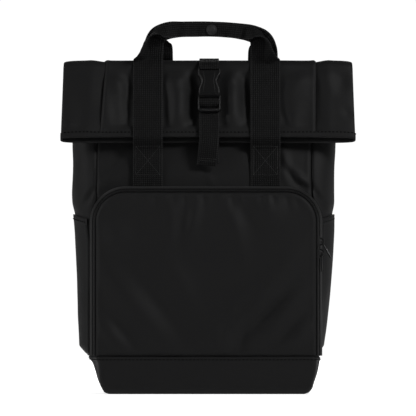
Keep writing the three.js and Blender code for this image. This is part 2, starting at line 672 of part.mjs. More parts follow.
// Front handle: rows run from the left leg over the grip to the right leg. across is the folding line, as a
// share of half the handle's span, up a share of its rise over the roll, turn the way from the folding line
// to the inner edge (0 level, 90 straight down), fold the angle by which the outer half is folded over.
const FRONT_HANDLE = [
  { across: -1.0, up: 0.0, turn: 0, fold: 12 },
  { across: -0.998, up: 0.13, turn: 0, fold: 48 },
  { across: -0.99, up: 0.3, turn: 2, fold: 64 },
  { across: -0.98, up: 0.47, turn: 6, fold: 74 },
  { across: -0.95, up: 0.66, turn: 20, fold: 95 },
  { across: -0.87, up: 0.82, turn: 45, fold: 125 },
  { across: -0.73, up: 0.91, turn: 68, fold: 155 },
  { across: -0.53, up: 0.975, turn: 82, fold: 172 },
  { across: -0.2, up: 0.995, turn: 89, fold: 180 },
  { across: 0.06, up: 1.0, turn: 90, fold: 180 },
  { across: 0.3, up: 0.985, turn: 92, fold: 180 },
  { across: 0.56, up: 0.94, turn: 97, fold: 172 },
  { across: 0.76, up: 0.87, turn: 110, fold: 155 },
  { across: 0.91, up: 0.76, turn: 136, fold: 125 },
  { across: 0.98, up: 0.61, turn: 160, fold: 95 },
  { across: 1.0, up: 0.45, turn: 174, fold: 74 },
  { across: 1.0, up: 0.28, turn: 178, fold: 62 },
  { across: 1.0, up: 0.13, turn: 180, fold: 45 },
  { across: 1.0, up: 0.0, turn: 180, fold: 10 },
];
// Rear handle: the same, but its inner half folds away behind, so the folding line ends as the lower edge.
const REAR_HANDLE = [
  { across: -1.0, up: 0.0, turn: 180, fold: 0 },
  { across: -1.0, up: 0.24, turn: 180, fold: 8 },
  { across: -0.98, up: 0.4, turn: 186, fold: 45 },
  { across: -0.93, up: 0.53, turn: 210, fold: 95 },
  { across: -0.8, up: 0.605, turn: 242, fold: 140 },
  { across: -0.5, up: 0.62, turn: 264, fold: 172 },
  { across: 0.0, up: 0.62, turn: 270, fold: 180 },
  { across: 0.5, up: 0.58, turn: 278, fold: 172 },
  { across: 0.8, up: 0.52, turn: 300, fold: 140 },
  { across: 0.93, up: 0.44, turn: 330, fold: 95 },
  { across: 0.98, up: 0.32, turn: 354, fold: 45 },
  { across: 1.0, up: 0.18, turn: 360, fold: 8 },
  { across: 1.0, up: 0.0, turn: 360, fold: 0 },
];

// The folded section of the webbing, seen along it: place s across it, lift out of its middle surface.
function foldedSection(s, lift, angle) {
  const half = (FOLD_RADIUS * angle) / 2;
  const bend = THREE.MathUtils.clamp((half - s) / FOLD_RADIUS, 0, angle);
  const past = Math.max(0, -s - half);
  const along = Math.max(s, half) - FOLD_RADIUS * Math.sin(bend) - past * Math.cos(angle);
  const out = FOLD_RADIUS * (1 - Math.cos(bend)) + past * Math.sin(angle);
  return [along - lift * Math.sin(bend), out - lift * Math.cos(bend)];
}

// A handle: its legs follow a path in the YZ plane, then its table takes the webbing over the grip.
function handleSolid({ rows, span, shift, leg, gripY, facing }) {
  const middle = (row) => new THREE.Vector3(shift + row.across * span / 2, 0, ROLL_TOP + row.up * HANDLE_RISE);
  const topY = leg[leg.length - 1][0];
  const stations = rows.map((row) => {
    const p = middle(row);
    const rise = Math.min(1, (p.z - ROLL_TOP) / (HANDLE_RISE * 0.55));
    p.y = lerp(topY, gripY, smooth(rise));
    const turn = radians(row.turn);
    return { p, side: new THREE.Vector3(Math.cos(turn), 0, -Math.sin(turn)), fold: radians(row.fold) };
  });
  const legStations = (row) => leg.slice(0, -1).map(([y, z]) => {
    const turn = radians(row.turn);
    return {
      p: new THREE.Vector3(shift + row.across * span / 2, y, z),
      side: new THREE.Vector3(Math.cos(turn), 0, -Math.sin(turn)),
      fold: 0,
    };
  });
  const all = [...legStations(rows[0]), ...stations, ...legStations(rows[rows.length - 1]).reverse()];
  const ways = all.map((_, i) => all[Math.min(i + 1, all.length - 1)].p.clone()
    .sub(all[Math.max(i - 1, 0)].p).normalize());
  const columns = [-0.5, -0.16, -0.066, 0, 0.066, 0.5];
  const point = (lift) => (u, v) => {
    const i = Math.round(u * (all.length - 1));
    const { p, side, fold } = all[i];
    const across = side.clone().addScaledVector(ways[i], -side.dot(ways[i])).normalize();
    const face = new THREE.Vector3().crossVectors(ways[i], across).normalize();
    if (face.y * facing < 0) face.negate();
    const s = columns[Math.round(v * (columns.length - 1))] * HANDLE_WEB;
    const [a, b] = foldedSection(s, lift, Math.max(fold, 0.02));
    return p.clone().addScaledVector(across, a).addScaledVector(face, b);
  };
  return sheetSolid(all.length - 1, columns.length - 1, point(WEB_THICK / 2), point(-WEB_THICK / 2));
}

const gripThick = 2 * FOLD_RADIUS + WEB_THICK;
const FRONT_GRIP_Y = FOLD.y - FOLD_OUTER / 2 - gripThick / 2;
const REAR_GRIP_Y = FRONT_GRIP_Y + WEB_THICK + 2 * SEAM_GAP;
const gripMiddle = ROLL_TOP + HANDLE_RISE - HANDLE_WEB / 4 - FOLD_RADIUS / 2;

function addHandles() {
  const sewnX = HANDLE_SPAN / 2 - HANDLE_WEB / 2;
  const frontFoot = POCKET_TOP + 2 * SEAM_GAP + WALL;
  const onFront = (z) => [panelY(LAYERS.front, sewnX, z) - WEB_LIFT - SEAM_GAP, z];
  const stitchTop = frontFoot + STITCH_LENGTH;
  const roundFold = (angle, lift) => {
    const r = FOLD_OUTER + WEB_LIFT + lift;
    return [FOLD.y + r * Math.cos(angle), FOLD.z + r * Math.sin(angle)];
  };
  const frontLeg = [
    onFront(frontFoot), onFront(lerp(frontFoot, stitchTop, 0.5)), onFront(stitchTop),
    bindingFace(bindingEnd + 3 * WEB_THICK, WALL), bindingFace(bindingEnd, SEAM_GAP), bindingFace(0, SEAM_GAP),
    overFlap(0.7, WEB_LIFT + SEAM_GAP), overFlap(0, WEB_LIFT + SEAM_GAP),
    roundFold(flapTurn - radians(25), SEAM_GAP), [FRONT_GRIP_Y, ROLL_TOP],
  ];
  const stud = (radius, from, to) => new THREE.CylinderGeometry(radius, radius, to - from, 16)
    .translate(STUD_SHIFT, (from + to) / 2, gripMiddle);
  const front = handleSolid({
    rows: FRONT_HANDLE, span: HANDLE_SPAN, shift: HANDLE_SHIFT, leg: frontLeg, gripY: FRONT_GRIP_Y, facing: -1,
  });
  const frontFace = FRONT_GRIP_Y - 2 * FOLD_RADIUS - WEB_THICK / 2;
  const frontBack = FRONT_GRIP_Y + WEB_THICK / 2;
  const hole = stud(POST_RADIUS + SEAM_GAP, frontFace - WALL, REAR_GRIP_Y + gripThick + WALL);
  addPiece("front_handle", cut(front, hole), webbing);

  const rearSewnX = REAR_LEG_SPAN / 2 - HANDLE_WEB / 2;
  const rearFoot = PAD_TOP + 2 * SEAM_GAP;
  const onBack = (z) => [panelY(LAYERS.back, rearSewnX, z) + WEB_LIFT + SEAM_GAP, z];
  const rearLeg = [
    onBack(rearFoot), onBack(rearFoot + STITCH_LENGTH * 0.5), onBack(rearFoot + STITCH_LENGTH),
    roundFold(LAYERS.back.from, SEAM_GAP), roundFold(LAYERS.back.from + radians(25), SEAM_GAP),
    [FOLD.y + 0.6 * FOLD_OUTER, ROLL_TOP],
  ];
  const rear = handleSolid({
    rows: REAR_HANDLE, span: REAR_LEG_SPAN, shift: REAR_LEG_SHIFT, leg: rearLeg, gripY: REAR_GRIP_Y, facing: 1,
  });
  addPiece("rear_handle", cut(rear, hole), webbing);

  const rearBack = REAR_GRIP_Y + 2 * FOLD_RADIUS + WEB_THICK / 2;
  addPiece("stud_cap", join(
    stud(STUD_RADIUS, frontFace - SEAM_GAP - WALL, frontFace - SEAM_GAP),
    stud(POST_RADIUS, frontFace - SEAM_GAP - WALL, frontBack),
  ), metal);
  addPiece("stud_socket", join(
    stud(STUD_RADIUS - WALL, rearBack + SEAM_GAP, rearBack + SEAM_GAP + WALL),
    stud(POST_RADIUS, frontBack + SEAM_GAP, rearBack + SEAM_GAP + WALL),
  ), metal);
}

// The buckle lies on the flap. Its own frame has X across, Y up the flap and Z out of it.
const buckleCentre = overFlap((BUCKLE_BELOW_TOP + SOCKET_LENGTH) / flapLength, BUCKLE_REST + SEAM_GAP);
const buckleTurn = Math.atan2(-flapWay.z, -flapWay.y);
const inBuckle = (up, out) => [
  buckleCentre[0] - up * flapWay.y + out * flapOut.y,
  buckleCentre[1] - up * flapWay.z + out * flapOut.z,
];

function plate(outline, from, to, bevel = 0) {
  const shape = new THREE.Shape(outline.map(([x, y]) => new THREE.Vector2(x, y)));
  const options = bevel
    ? { depth: to - from - 2 * bevel, bevelEnabled: true, bevelThickness: bevel, bevelSize: bevel,
      bevelOffset: -bevel, bevelSegments: 1 }
    : { depth: to - from, bevelEnabled: false };
  return new THREE.ExtrudeGeometry(shape, options).translate(0, 0, from + bevel);
}
const mirrored = (half) => [...half, ...half.map(([x, y]) => [-x, y]).reverse()];

// Outline of the buckle's socket, from its mouth up: across as a share of half its width, up of its length
const SOCKET_OUTLINE = [
  { across: 0.9, up: 0.0 },
  { across: 0.86, up: 0.2 },
  { across: 0.78, up: 0.33 },
  { across: 0.7, up: 0.43 },
  { across: 0.7, up: 0.5 },
  { across: 0.8, up: 0.6 },
  { across: 0.96, up: 0.7 },
  { across: 1.0, up: 0.8 },
  { across: 0.98, up: 0.94 },
  { across: 0.93, up: 1.0 },
];
// The bars that webbing goes round, seen from the front. The strap passes behind the clip's lower bar
// twice, so two of the values are the levels of the strap's middle there.
const BAR_DEPTH = 3;
const LOW_BAR = 4;
const CLIP_RAIL = 1.6;
const FIRST_PASS = WEB_LIFT + SEAM_GAP - BUCKLE_REST - SEAM_GAP;
const SECOND_PASS = FIRST_PASS + WEB_THICK + SEAM_GAP;
const LOW_BAR_BACK = SECOND_PASS + WEB_LIFT;
const MIDDLE_BAR = { up: -6.5, out: 3.5 };
const TOP_BAR = { up: SOCKET_LENGTH - BAR_DEPTH / 2, out: BUCKLE_THICK / 2 };

function addBuckle() {
  const buckle = new THREE.Group();
  buckle.position.set(BUCKLE_SHIFT, buckleCentre[0], buckleCentre[1]);
  buckle.rotation.x = buckleTurn;
  bag.add(buckle);
  const half = BUCKLE_WIDTH / 2;
  const opening = STRAP_WEB + 2 * SEAM_GAP;
  const slot = WEB_THICK + 2 * SEAM_GAP + SEAM_GAP;
  const shell = plate(mirrored(SOCKET_OUTLINE.map((row) => [row.across * half, row.up * SOCKET_LENGTH])),
    0, BUCKLE_THICK, 0.8);
  const tongueWidth = half * 1.05;
  const cavity = box(tongueWidth + 2 * SEAM_GAP, SOCKET_LENGTH, BUCKLE_THICK - 2 * PLASTIC,
    0, 0, BUCKLE_THICK / 2);
  const webSlot = box(opening, slot, 3 * BUCKLE_THICK, 0, SOCKET_LENGTH - BAR_DEPTH - slot / 2, 0);
  const besideBar = (out) => box(opening, 2 * BAR_DEPTH, BUCKLE_THICK, 0, SOCKET_LENGTH,
    out * (BAR_DEPTH / 2 + BUCKLE_THICK / 2) + TOP_BAR.out);
  addPiece("buckle_socket", cut(shell, cavity, webSlot, besideBar(-1), besideBar(1)), plastic, buckle);

  // The clip: a tongue inside the socket, and below it a frame with a middle bar and a lower bar in front.
  const low = -SEAM_GAP - CLIP_LENGTH;
  const railTop = -SEAM_GAP - CLIP_RAIL;
  const barTop = low + LOW_BAR;
  const frame = plate([[-half, low + BAR_DEPTH], [-half + PLASTIC, low], [half - PLASTIC, low],
    [half, low + BAR_DEPTH], [half, -SEAM_GAP], [-half, -SEAM_GAP]], BUCKLE_THICK * 0.1, BUCKLE_THICK * 0.9, 0.5);
  const window = box(opening, railTop - barTop, 3 * BUCKLE_THICK, 0, (railTop + barTop) / 2, 0);
  const behindLowBar = box(opening, 3 * LOW_BAR, 2 * BUCKLE_THICK, 0, low, LOW_BAR_BACK - BUCKLE_THICK);
  const middleBar = box(opening + PLASTIC, PLASTIC, PLASTIC, 0, MIDDLE_BAR.up, MIDDLE_BAR.out);
  const tongue = box(tongueWidth, SOCKET_LENGTH * 0.42, BUCKLE_THICK - 2 * PLASTIC - 2 * SEAM_GAP,
    0, SOCKET_LENGTH * 0.21 - 1.5, BUCKLE_THICK / 2);
  addPiece("buckle_clip", join(cut(frame, window, behindLowBar), middleBar, tongue), plastic, buckle);
}

// The strap's way through a two-bar adjuster: up behind both bars, over the middle bar and down again
// behind the lower one. Each step is [up, out] in the adjuster's own frame.
function adjusterPath(bar, low, first, second) {
  const reach = (PLASTIC / 2) * Math.SQRT2 + WEB_LIFT + SEAM_GAP / 2;
  const round = (angle) => [bar.up + reach * Math.cos(radians(angle)), bar.out + reach * Math.sin(radians(angle))];
  return [
    [low, first], [(bar.up + low) / 2, first], round(230), round(310), round(0), round(50), round(100),
    [bar.up - 5.5, bar.out + PLASTIC / 2 + WEB_LIFT - SEAM_GAP], [low + 6, second], [low - 2, second],
  ];
}

function addClosureStrap() {
  const stations = (path) => path.map(([y, z]) => ({
    middle: new THREE.Vector3(BUCKLE_SHIFT, y, z), across: new THREE.Vector3(1, 0, 0),
  }));
  const overFold = (share, layers) => {
    const r = FOLD_OUTER + WEB_LIFT + SEAM_GAP + layers * (WEB_THICK + SEAM_GAP);
    const angle = lerp(LAYERS.back.from, flapTurn, share);
    return [FOLD.y + r * Math.cos(angle), FOLD.z + r * Math.sin(angle)];
  };

  // Upper strap: sewn to the back panel, over the roll, round the socket's bar and back under itself.
  const onBack = (z) => [panelY(LAYERS.back, 0, z) + WEB_LIFT + SEAM_GAP, z];
  const foot = PAD_TOP + 2 * SEAM_GAP;
  const reach = (BAR_DEPTH / 2) * Math.SQRT2 - SEAM_GAP + WEB_LIFT;
  const roundBar = (angle) => inBuckle(
    TOP_BAR.up + reach * Math.cos(radians(angle)), TOP_BAR.out + reach * Math.sin(radians(angle)));
  const upper = [
    onBack(foot), onBack(foot + STITCH_LENGTH * 0.6), overFold(0, 0), overFold(0.2, 0.6), overFold(0.4, 1),
    overFold(0.6, 1), overFold(0.78, 1), roundBar(55), roundBar(130), roundBar(180), roundBar(230),
    roundBar(300), overFold(0.9, 0), overFold(0.76, 0),
  ];
  addPiece("closure_strap_upper", strapSolid(stations(upper), STRAP_WEB, WEB_THICK), webbing);

  // Lower strap: sewn to the front panel, out round the mouth, through the clip, and down as a loose tail.
  const low = -SEAM_GAP - CLIP_LENGTH;
  const sewnTop = FLAP_FOOT - BINDING_LENGTH - INNER_DROP - 2 * WALL;
  const onFront = (z) => [panelY(LAYERS.front, 0, z) - WEB_LIFT - SEAM_GAP, z];
  const overFirst = WEB_THICK + 2 * SEAM_GAP;
  const hang = bindingFace(bindingEnd + WALL, SEAM_GAP + overFirst);
  const tail = (share) => [hang[0] - 1.5 * Math.sin(Math.PI * share), hang[1] - share * TAIL_HANG];
  const lower = [
    onFront(sewnTop - STITCH_LENGTH / 2), onFront(sewnTop - 2 * WALL),
    bindingFace(bindingEnd + INNER_DROP + 2 * WEB_THICK), bindingFace(bindingEnd, SEAM_GAP),
    bindingFace(0, SEAM_GAP),
    ...adjusterPath(MIDDLE_BAR, low, FIRST_PASS, SECOND_PASS).map(([up, out]) => inBuckle(up, out)),
    bindingFace(0, SEAM_GAP + overFirst), hang, tail(0.5), tail(1),
  ];
  addPiece("closure_strap_lower", strapSolid(stations(lower), STRAP_WEB, WEB_THICK), webbing);
}

// Zip sliders on the pocket's right side, the upper one over the lower, each with a puller on its bridge.
function addZipPulls() {
  const deep = (ZIP_FRONT + ZIP_BACK) / 2;
  const tape = gussetPoint(1, deep, ZIP_RECESS);
  const further = gussetPoint(1, deep + gussetStep, ZIP_RECESS);
  const tilt = Math.atan2(further.x - tape.x, further.y - tape.y);
  const bridgeRise = 3.6;
  const bridgeHalf = 4.2;
  const bar = 1.6;
  const barDrop = 1.3;
  const t = PULLER_THICK;
  const long = SLIDER_LENGTH / 2;
  const wide = SLIDER_WIDTH / 2;
  const pitch = SLIDER_LENGTH + 3 * SEAM_GAP;
  const rows = [
    { name: "upper", up: SLIDER_UP + pitch / 2, lean: UPPER_PULLER_LEAN },
    { name: "lower", up: SLIDER_UP - pitch / 2, lean: 0 },
  ];
  for (const { name, up, lean } of rows) {
    const slider = new THREE.Group();
    slider.position.set(tape.x + SEAM_GAP, tape.y, up);
    slider.rotation.z = -tilt;
    bag.add(slider);
    const shell = plate([[-wide * 0.7, -long], [wide * 0.7, -long], [wide, -long * 0.3], [wide, long * 0.7],
      [wide * 0.6, long], [-wide * 0.6, long], [-wide, long * 0.7], [-wide, -long * 0.3]], 0, SLIDER_THICK, 0.5);
    shell.rotateX(RIGHT_ANGLE).rotateZ(RIGHT_ANGLE);
    const arch = plate([[-0.5, -bridgeHalf - bar], [bridgeRise, -bridgeHalf], [bridgeRise + bar, -bridgeHalf + bar],
      [bridgeRise + bar, bridgeHalf - bar], [bridgeRise, bridgeHalf], [-0.5, bridgeHalf + bar],
      [-0.5, bridgeHalf - bar * 0.2], [bridgeRise - bar * 0.3, bridgeHalf - bar * 1.4],
      [bridgeRise, bridgeHalf - bar * 2], [bridgeRise, -bridgeHalf + bar * 2],
      [bridgeRise - bar * 0.3, -bridgeHalf + bar * 1.4], [-0.5, -bridgeHalf + bar * 0.2]], -bar / 2, bar / 2);
    arch.rotateX(RIGHT_ANGLE).translate(SLIDER_THICK, 0, 0);
    addPiece("zip_slider_" + name, join(shell, arch), metal, slider);

    // The puller hangs from a cross bar under the bridge, and its two arms pass either side of it.
    const pull = new THREE.Group();
    pull.position.x = SLIDER_THICK + bridgeRise - barDrop;
    pull.rotation.y = -radians(lean);
    slider.add(pull);
    const armGap = bar + t;
    const armEnd = 5.2;
    const ring = cut(
      box(t, armGap + 2 * t, armEnd + t, 0, 0, -armEnd / 2),
      box(3 * t, armGap, armEnd - t / 2, 0, 0, -armEnd / 2 - t / 4),
    );
    const w = PULLER_WIDTH / 2;
    const foot = -PULLER_LENGTH;
    const tab = plate([[-w * 0.7, -armEnd], [-w, -armEnd - w], [-w, foot + 0.7 * w], [-w * 0.35, foot],
      [w * 0.35, foot], [w, foot + 0.7 * w], [w, -armEnd - w], [w * 0.7, -armEnd]], -t / 2, t / 2);
    tab.rotateX(RIGHT_ANGLE).rotateZ(RIGHT_ANGLE);
    addPiece("zip_puller_" + name, join(ring, tab), metal, pull);
  }
}

// Shoulder strap: out as a share of half the body's width, up from the strap's foot (0) to the yoke (1),
// off as a share of how far it stands off the back, thick and wide as shares of the pad's sizes
const PAD_PATH = [
  { out: 0.29, up: 1.15, off: 0.0, thick: 0.3, wide: 0.92 },
  { out: 0.29, up: 0.99, off: 0.0, thick: 0.3, wide: 0.92 },
  { out: 0.29, up: 0.965, off: 0.06, thick: 0.7, wide: 0.98 },
  { out: 0.295, up: 0.94, off: 0.22, thick: 1.0, wide: 1.0 },
  { out: 0.31, up: 0.88, off: 0.46, thick: 1.0, wide: 1.0 },
  { out: 0.335, up: 0.79, off: 0.74, thick: 1.0, wide: 1.0 },
  { out: 0.38, up: 0.66, off: 0.96, thick: 1.0, wide: 1.0 },
  { out: 0.44, up: 0.5, off: 1.0, thick: 1.0, wide: 1.0 },
  { out: 0.51, up: 0.33, off: 0.88, thick: 1.0, wide: 1.0 },
  { out: 0.57, up: 0.16, off: 0.68, thick: 1.0, wide: 0.95 },
  { out: 0.603, up: 0.07, off: 0.53, thick: 0.5, wide: 0.75 },
  { out: 0.623, up: 0.0, off: 0.43, thick: 0.5, wide: 0.64 },
];
// The pad's section: across and through, as shares of half its width and half its thickness
const PAD_SECTION = [
  [1, -0.25], [1, 0.25], [0.86, 0.85], [0.5, 1], [-0.5, 1], [-0.86, 0.85],
  [-1, 0.25], [-1, -0.25], [-0.86, -0.85], [-0.5, -1], [0.5, -1], [0.86, -0.85],
];
// The yoke across the back, as shares of its half width: lift 1 where it passes over the straps' tops
const YOKE_SHAPE = [
  { across: 0, lift: 0 },
  { across: 0.11, lift: 0 },
  { across: 0.2, lift: 1 },
  { across: 0.55, lift: 1 },
  { across: 0.9, lift: 1 },
  { across: 1, lift: 0 },
];

function addShoulderStraps() {
  const backFace = (z) => panelY(LAYERS.back, 0, z) + SEAM_GAP;
  for (const [name, side] of [["left", -1], ["right", 1]]) {
    const toSide = new THREE.Vector3(side, 0, 0);
    const rows = PAD_PATH.map((row) => {
      const thick = PAD_THICK * row.thick;
      const z = lerp(PAD_FOOT, PAD_TOP - YOKE_HEIGHT - SEAM_GAP, row.up);
      const y = backFace(z) + thick / 2 + row.off * PAD_STANDOFF;
      return { thick, wide: PAD_WIDTH * row.wide, middle: new THREE.Vector3(side * row.out * HALF_BODY, y, z) };
    });
    const frames = rows.map(({ middle }, i) => {
      const before = rows[Math.max(i - 1, 0)].middle;
      const down = rows[Math.min(i + 1, rows.length - 1)].middle.clone().sub(before).normalize();
      const across = toSide.clone().addScaledVector(down, -toSide.dot(down)).normalize();
      const out = new THREE.Vector3().crossVectors(down, across).multiplyScalar(-side);
      return { down, across, out, at: (u, v, w) => middle.clone()
        .addScaledVector(across, u).addScaledVector(out, v).addScaledVector(down, w) };
    });
    const rings = rows.map(({ thick, wide }, i) => PAD_SECTION.map(([a, b]) =>
      frames[i].at(a * wide / 2, b * thick / 2, 0)));
    addPiece("shoulder_strap_" + name, ringSolid(rings), padding);

    // Two-bar adjuster below the strap's foot, held by a tab of webbing round its upper bar.
    const { down, across, out, at } = frames[rows.length - 1];
    const adjuster = new THREE.Group();
    adjuster.position.copy(rows[rows.length - 1].middle);
    adjuster.setRotationFromMatrix(new THREE.Matrix4().makeBasis(across.clone().multiplyScalar(side), out,
      down.clone().negate()));
    bag.add(adjuster);
    const opening = STRAP_WEB + 2 * SEAM_GAP;
    const deep = 4 * PLASTIC;
    const top = -SEAM_GAP;
    const low = top - ADJUSTER_HEIGHT;
    const bar = { up: low + 3 * LOW_BAR, out: 0 };
    const topBarHalf = PLASTIC * 0.64;
    const behind = bar.out - PLASTIC / 2 - WEB_LIFT;
    const second = behind + WEB_THICK + SEAM_GAP;
    const tabWidth = opening - 2 * SEAM_GAP;
    const frame = cut(
      box(opening + 2 * PLASTIC, deep, ADJUSTER_HEIGHT, 0, 0, (top + low) / 2),
      box(opening, 3 * deep, ADJUSTER_HEIGHT - BAR_DEPTH - LOW_BAR, 0, 0, (top - BAR_DEPTH + low + LOW_BAR) / 2),
      box(opening, deep, 3 * LOW_BAR, 0, second + WEB_LIFT - deep / 2, low),
      box(opening, deep, 3 * BAR_DEPTH, 0, -topBarHalf - deep / 2, top),
      box(opening, deep, 3 * BAR_DEPTH, 0, topBarHalf + deep / 2, top),
    );
    const middleBar = box(opening + PLASTIC, PLASTIC, PLASTIC, 0, bar.out, bar.up);
    addPiece("strap_adjuster_" + name, join(frame, middleBar), plastic, adjuster);

    const station = ([up, off]) => ({ middle: at(0, off, -up), across });
    const lap = PAD_THICK * 0.5 + WEB_LIFT;
    const turn = topBarHalf + WEB_LIFT;
    const tabFoot = top - BAR_DEPTH - WEB_LIFT;
    const tab = [[PAD_THICK, -lap - SEAM_GAP], [SEAM_GAP, -lap], [tabFoot + 1, -turn], [tabFoot, -turn * 0.4],
      [tabFoot, turn * 0.4], [tabFoot + 1, turn], [SEAM_GAP, lap], [PAD_THICK, lap + SEAM_GAP]];
    addPiece("strap_tab_" + name, strapSolid(tab.map(station), tabWidth, WEB_THICK), webbing);

    // Lower webbing: sewn to the foot of the back panel, up through the adjuster, and down as a loose tail.
    const anchor = (up) => ({
      middle: new THREE.Vector3(side * ANCHOR_OUT, backFace(up) + WEB_LIFT, up), across: toSide,
    });
    const through = adjusterPath(bar, low, behind, second).map(station);
    const tailTop = through[through.length - 1];
    const hang = [0.4, 1].map((share) => ({
      middle: tailTop.middle.clone().add(new THREE.Vector3(0, 2.5 * share, -share * STRAP_TAIL)), across: tailTop.across,
    }));
    addPiece("strap_webbing_" + name, strapSolid(
      [anchor(ANCHOR_UP - BASE_HEIGHT / 5), anchor(ANCHOR_UP + BASE_HEIGHT / 4), ...through, ...hang],
      STRAP_WEB, WEB_THICK), webbing);
  }

  // The yoke: one band of cloth sewn across the back over the tops of both straps.
  const yokeHalf = PAD_PATH[0].out * HALF_BODY + PAD_WIDTH / 2 + PAD_THICK;
  const columns = [...YOKE_SHAPE.slice(1).reverse().map((row) => -row.across), ...YOKE_SHAPE.map((row) => row.across)];
  const acrossYoke = steps(columns);
  const yoke = (inset) => (u, v) => {
    const z = lerp(PAD_TOP - YOKE_HEIGHT, PAD_TOP, u);
    const share = acrossYoke(v);
    const lift = readTable(YOKE_SHAPE, "across", "lift", Math.abs(share)) * (PAD_THICK * PAD_PATH[0].thick + SEAM_GAP);
    return new THREE.Vector3(share * yokeHalf, backFace(z) + lift + WALL - inset, z);
  };
  addPiece("strap_yoke", sheetSolid(2, columns.length - 1, yoke(0), yoke(WALL)), cloth);
}

addBodyPanels();
addMouthBinding();
addBase();
addPocket();
addSidePockets();
addHandles();
addBuckle();
addClosureStrap();
addZipPulls();
addShoulderStraps();

export default bag;
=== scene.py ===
import bmesh
import bpy
import numpy as np
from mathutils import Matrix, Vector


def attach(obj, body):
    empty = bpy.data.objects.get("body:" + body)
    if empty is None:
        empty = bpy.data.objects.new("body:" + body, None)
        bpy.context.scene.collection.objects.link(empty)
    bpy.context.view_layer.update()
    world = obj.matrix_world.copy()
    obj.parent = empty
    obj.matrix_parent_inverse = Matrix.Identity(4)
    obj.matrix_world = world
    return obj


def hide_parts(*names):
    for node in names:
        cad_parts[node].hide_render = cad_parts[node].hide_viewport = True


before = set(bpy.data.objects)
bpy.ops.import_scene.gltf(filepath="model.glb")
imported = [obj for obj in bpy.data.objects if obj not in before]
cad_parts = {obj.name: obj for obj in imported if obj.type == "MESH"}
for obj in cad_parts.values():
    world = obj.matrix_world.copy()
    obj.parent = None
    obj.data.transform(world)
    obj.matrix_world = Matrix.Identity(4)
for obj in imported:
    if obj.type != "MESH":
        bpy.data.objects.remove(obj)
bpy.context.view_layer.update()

# Main compartment: a back, a front and two side panels of coated cloth, sewn to a tube. The tube is pressed
# flat at the top and folded forward once, so the back panel is also the outside of the flap. All sizes are
# in millimetres until a mesh is made.
MM = 0.001
WALL = 1.6
SEAM_GAP = 0.4
PANEL_WIDTH = 274
BODY_WIDTH = 332
BODY_DEPTH = 96
POCKET_DEPTH = 40
POCKET_TOP = 264
FRONT_BULGE = 9
BACK_BULGE = 3
BASE_HEIGHT = 48
BASE_FLOOR = 2.5
ROLL_TOP = 423.5
FLAP_DROP = 93
FOLD_BACK_INSET = 46
FOLD_CORE = 4
FOLD_OUTER = 14
MOUTH_WIDTH = 373
PRESSED_POWER = 0.5
# Gap between the hanging flap and the front panel
FLAP_REST = 4
INNER_DROP = 4
SHOULDER_UP = 300
PUFF_RISE = 7.5
SIDE_POCKET_TOP = 225
# How far the body's side is pressed in behind a slip pocket, and over what height that fades out
RECESS = 9.9
RECESS_FADE = 20
BACK_Y = (BODY_DEPTH + POCKET_DEPTH) / 2
FRONT_Y = BACK_Y - BODY_DEPTH
FACE_Y = FRONT_Y - POCKET_DEPTH
FOLD_Y = BACK_Y - FOLD_BACK_INSET
FOLD_Z = ROLL_TOP - FOLD_OUTER
BODY_FOOT = BASE_HEIGHT + SEAM_GAP
HALF_PANEL = PANEL_WIDTH / 2
HALF_BODY = BODY_WIDTH / 2
HALF_MOUTH = MOUTH_WIDTH / 2
# Reach of the body's sides and seams up its height, as shares of half its width and half the panel's width
BODY_SHAPE = {
    "up": [0.0, 0.113, 0.236, 0.354, 0.472, 0.531, 0.756, 1.0],
    "left": [0.965, 0.982, 0.997, 1.006, 1.018, 1.033, 1.033, 1.033],
    "right": [0.86, 0.88, 0.918, 0.949, 0.967, 0.967, 0.967, 0.967],
    "seam_left": [1.073, 1.073, 1.066, 1.055, 1.045, 1.036, 1.03, 1.0],
    "seam_right": [1.044, 1.044, 1.034, 1.015, 0.99, 0.974, 0.956, 1.0],
}
# How far in the flap's two seams start at the fold, from where they end at the mouth
SEAM_SLANT = {"left": 6.5, "right": -1.0}
# Reach of the pressed mouth, from the body (0) over the fold (1 to 2) to the hem (3)
MOUTH_SHAPE = {"along": [0, 1, 2, 3], "reach": [0.95, 0.978, 0.986, 1.0]}
# Puffs of the flap: across as a share of half the mouth, along as a share of the flap
FLAP_PUFFS = {
    "across": [-0.2, 0.165, -0.665, 0.655],
    "along": [0.45, 0.45, 0.45, 0.42],
    "rise": [0.95, 0.9, 0.55, 0.6],
    "wide": [0.115, 0.115, 0.15, 0.15],
    "tall": [0.85, 0.85, 0.9, 0.85],
}
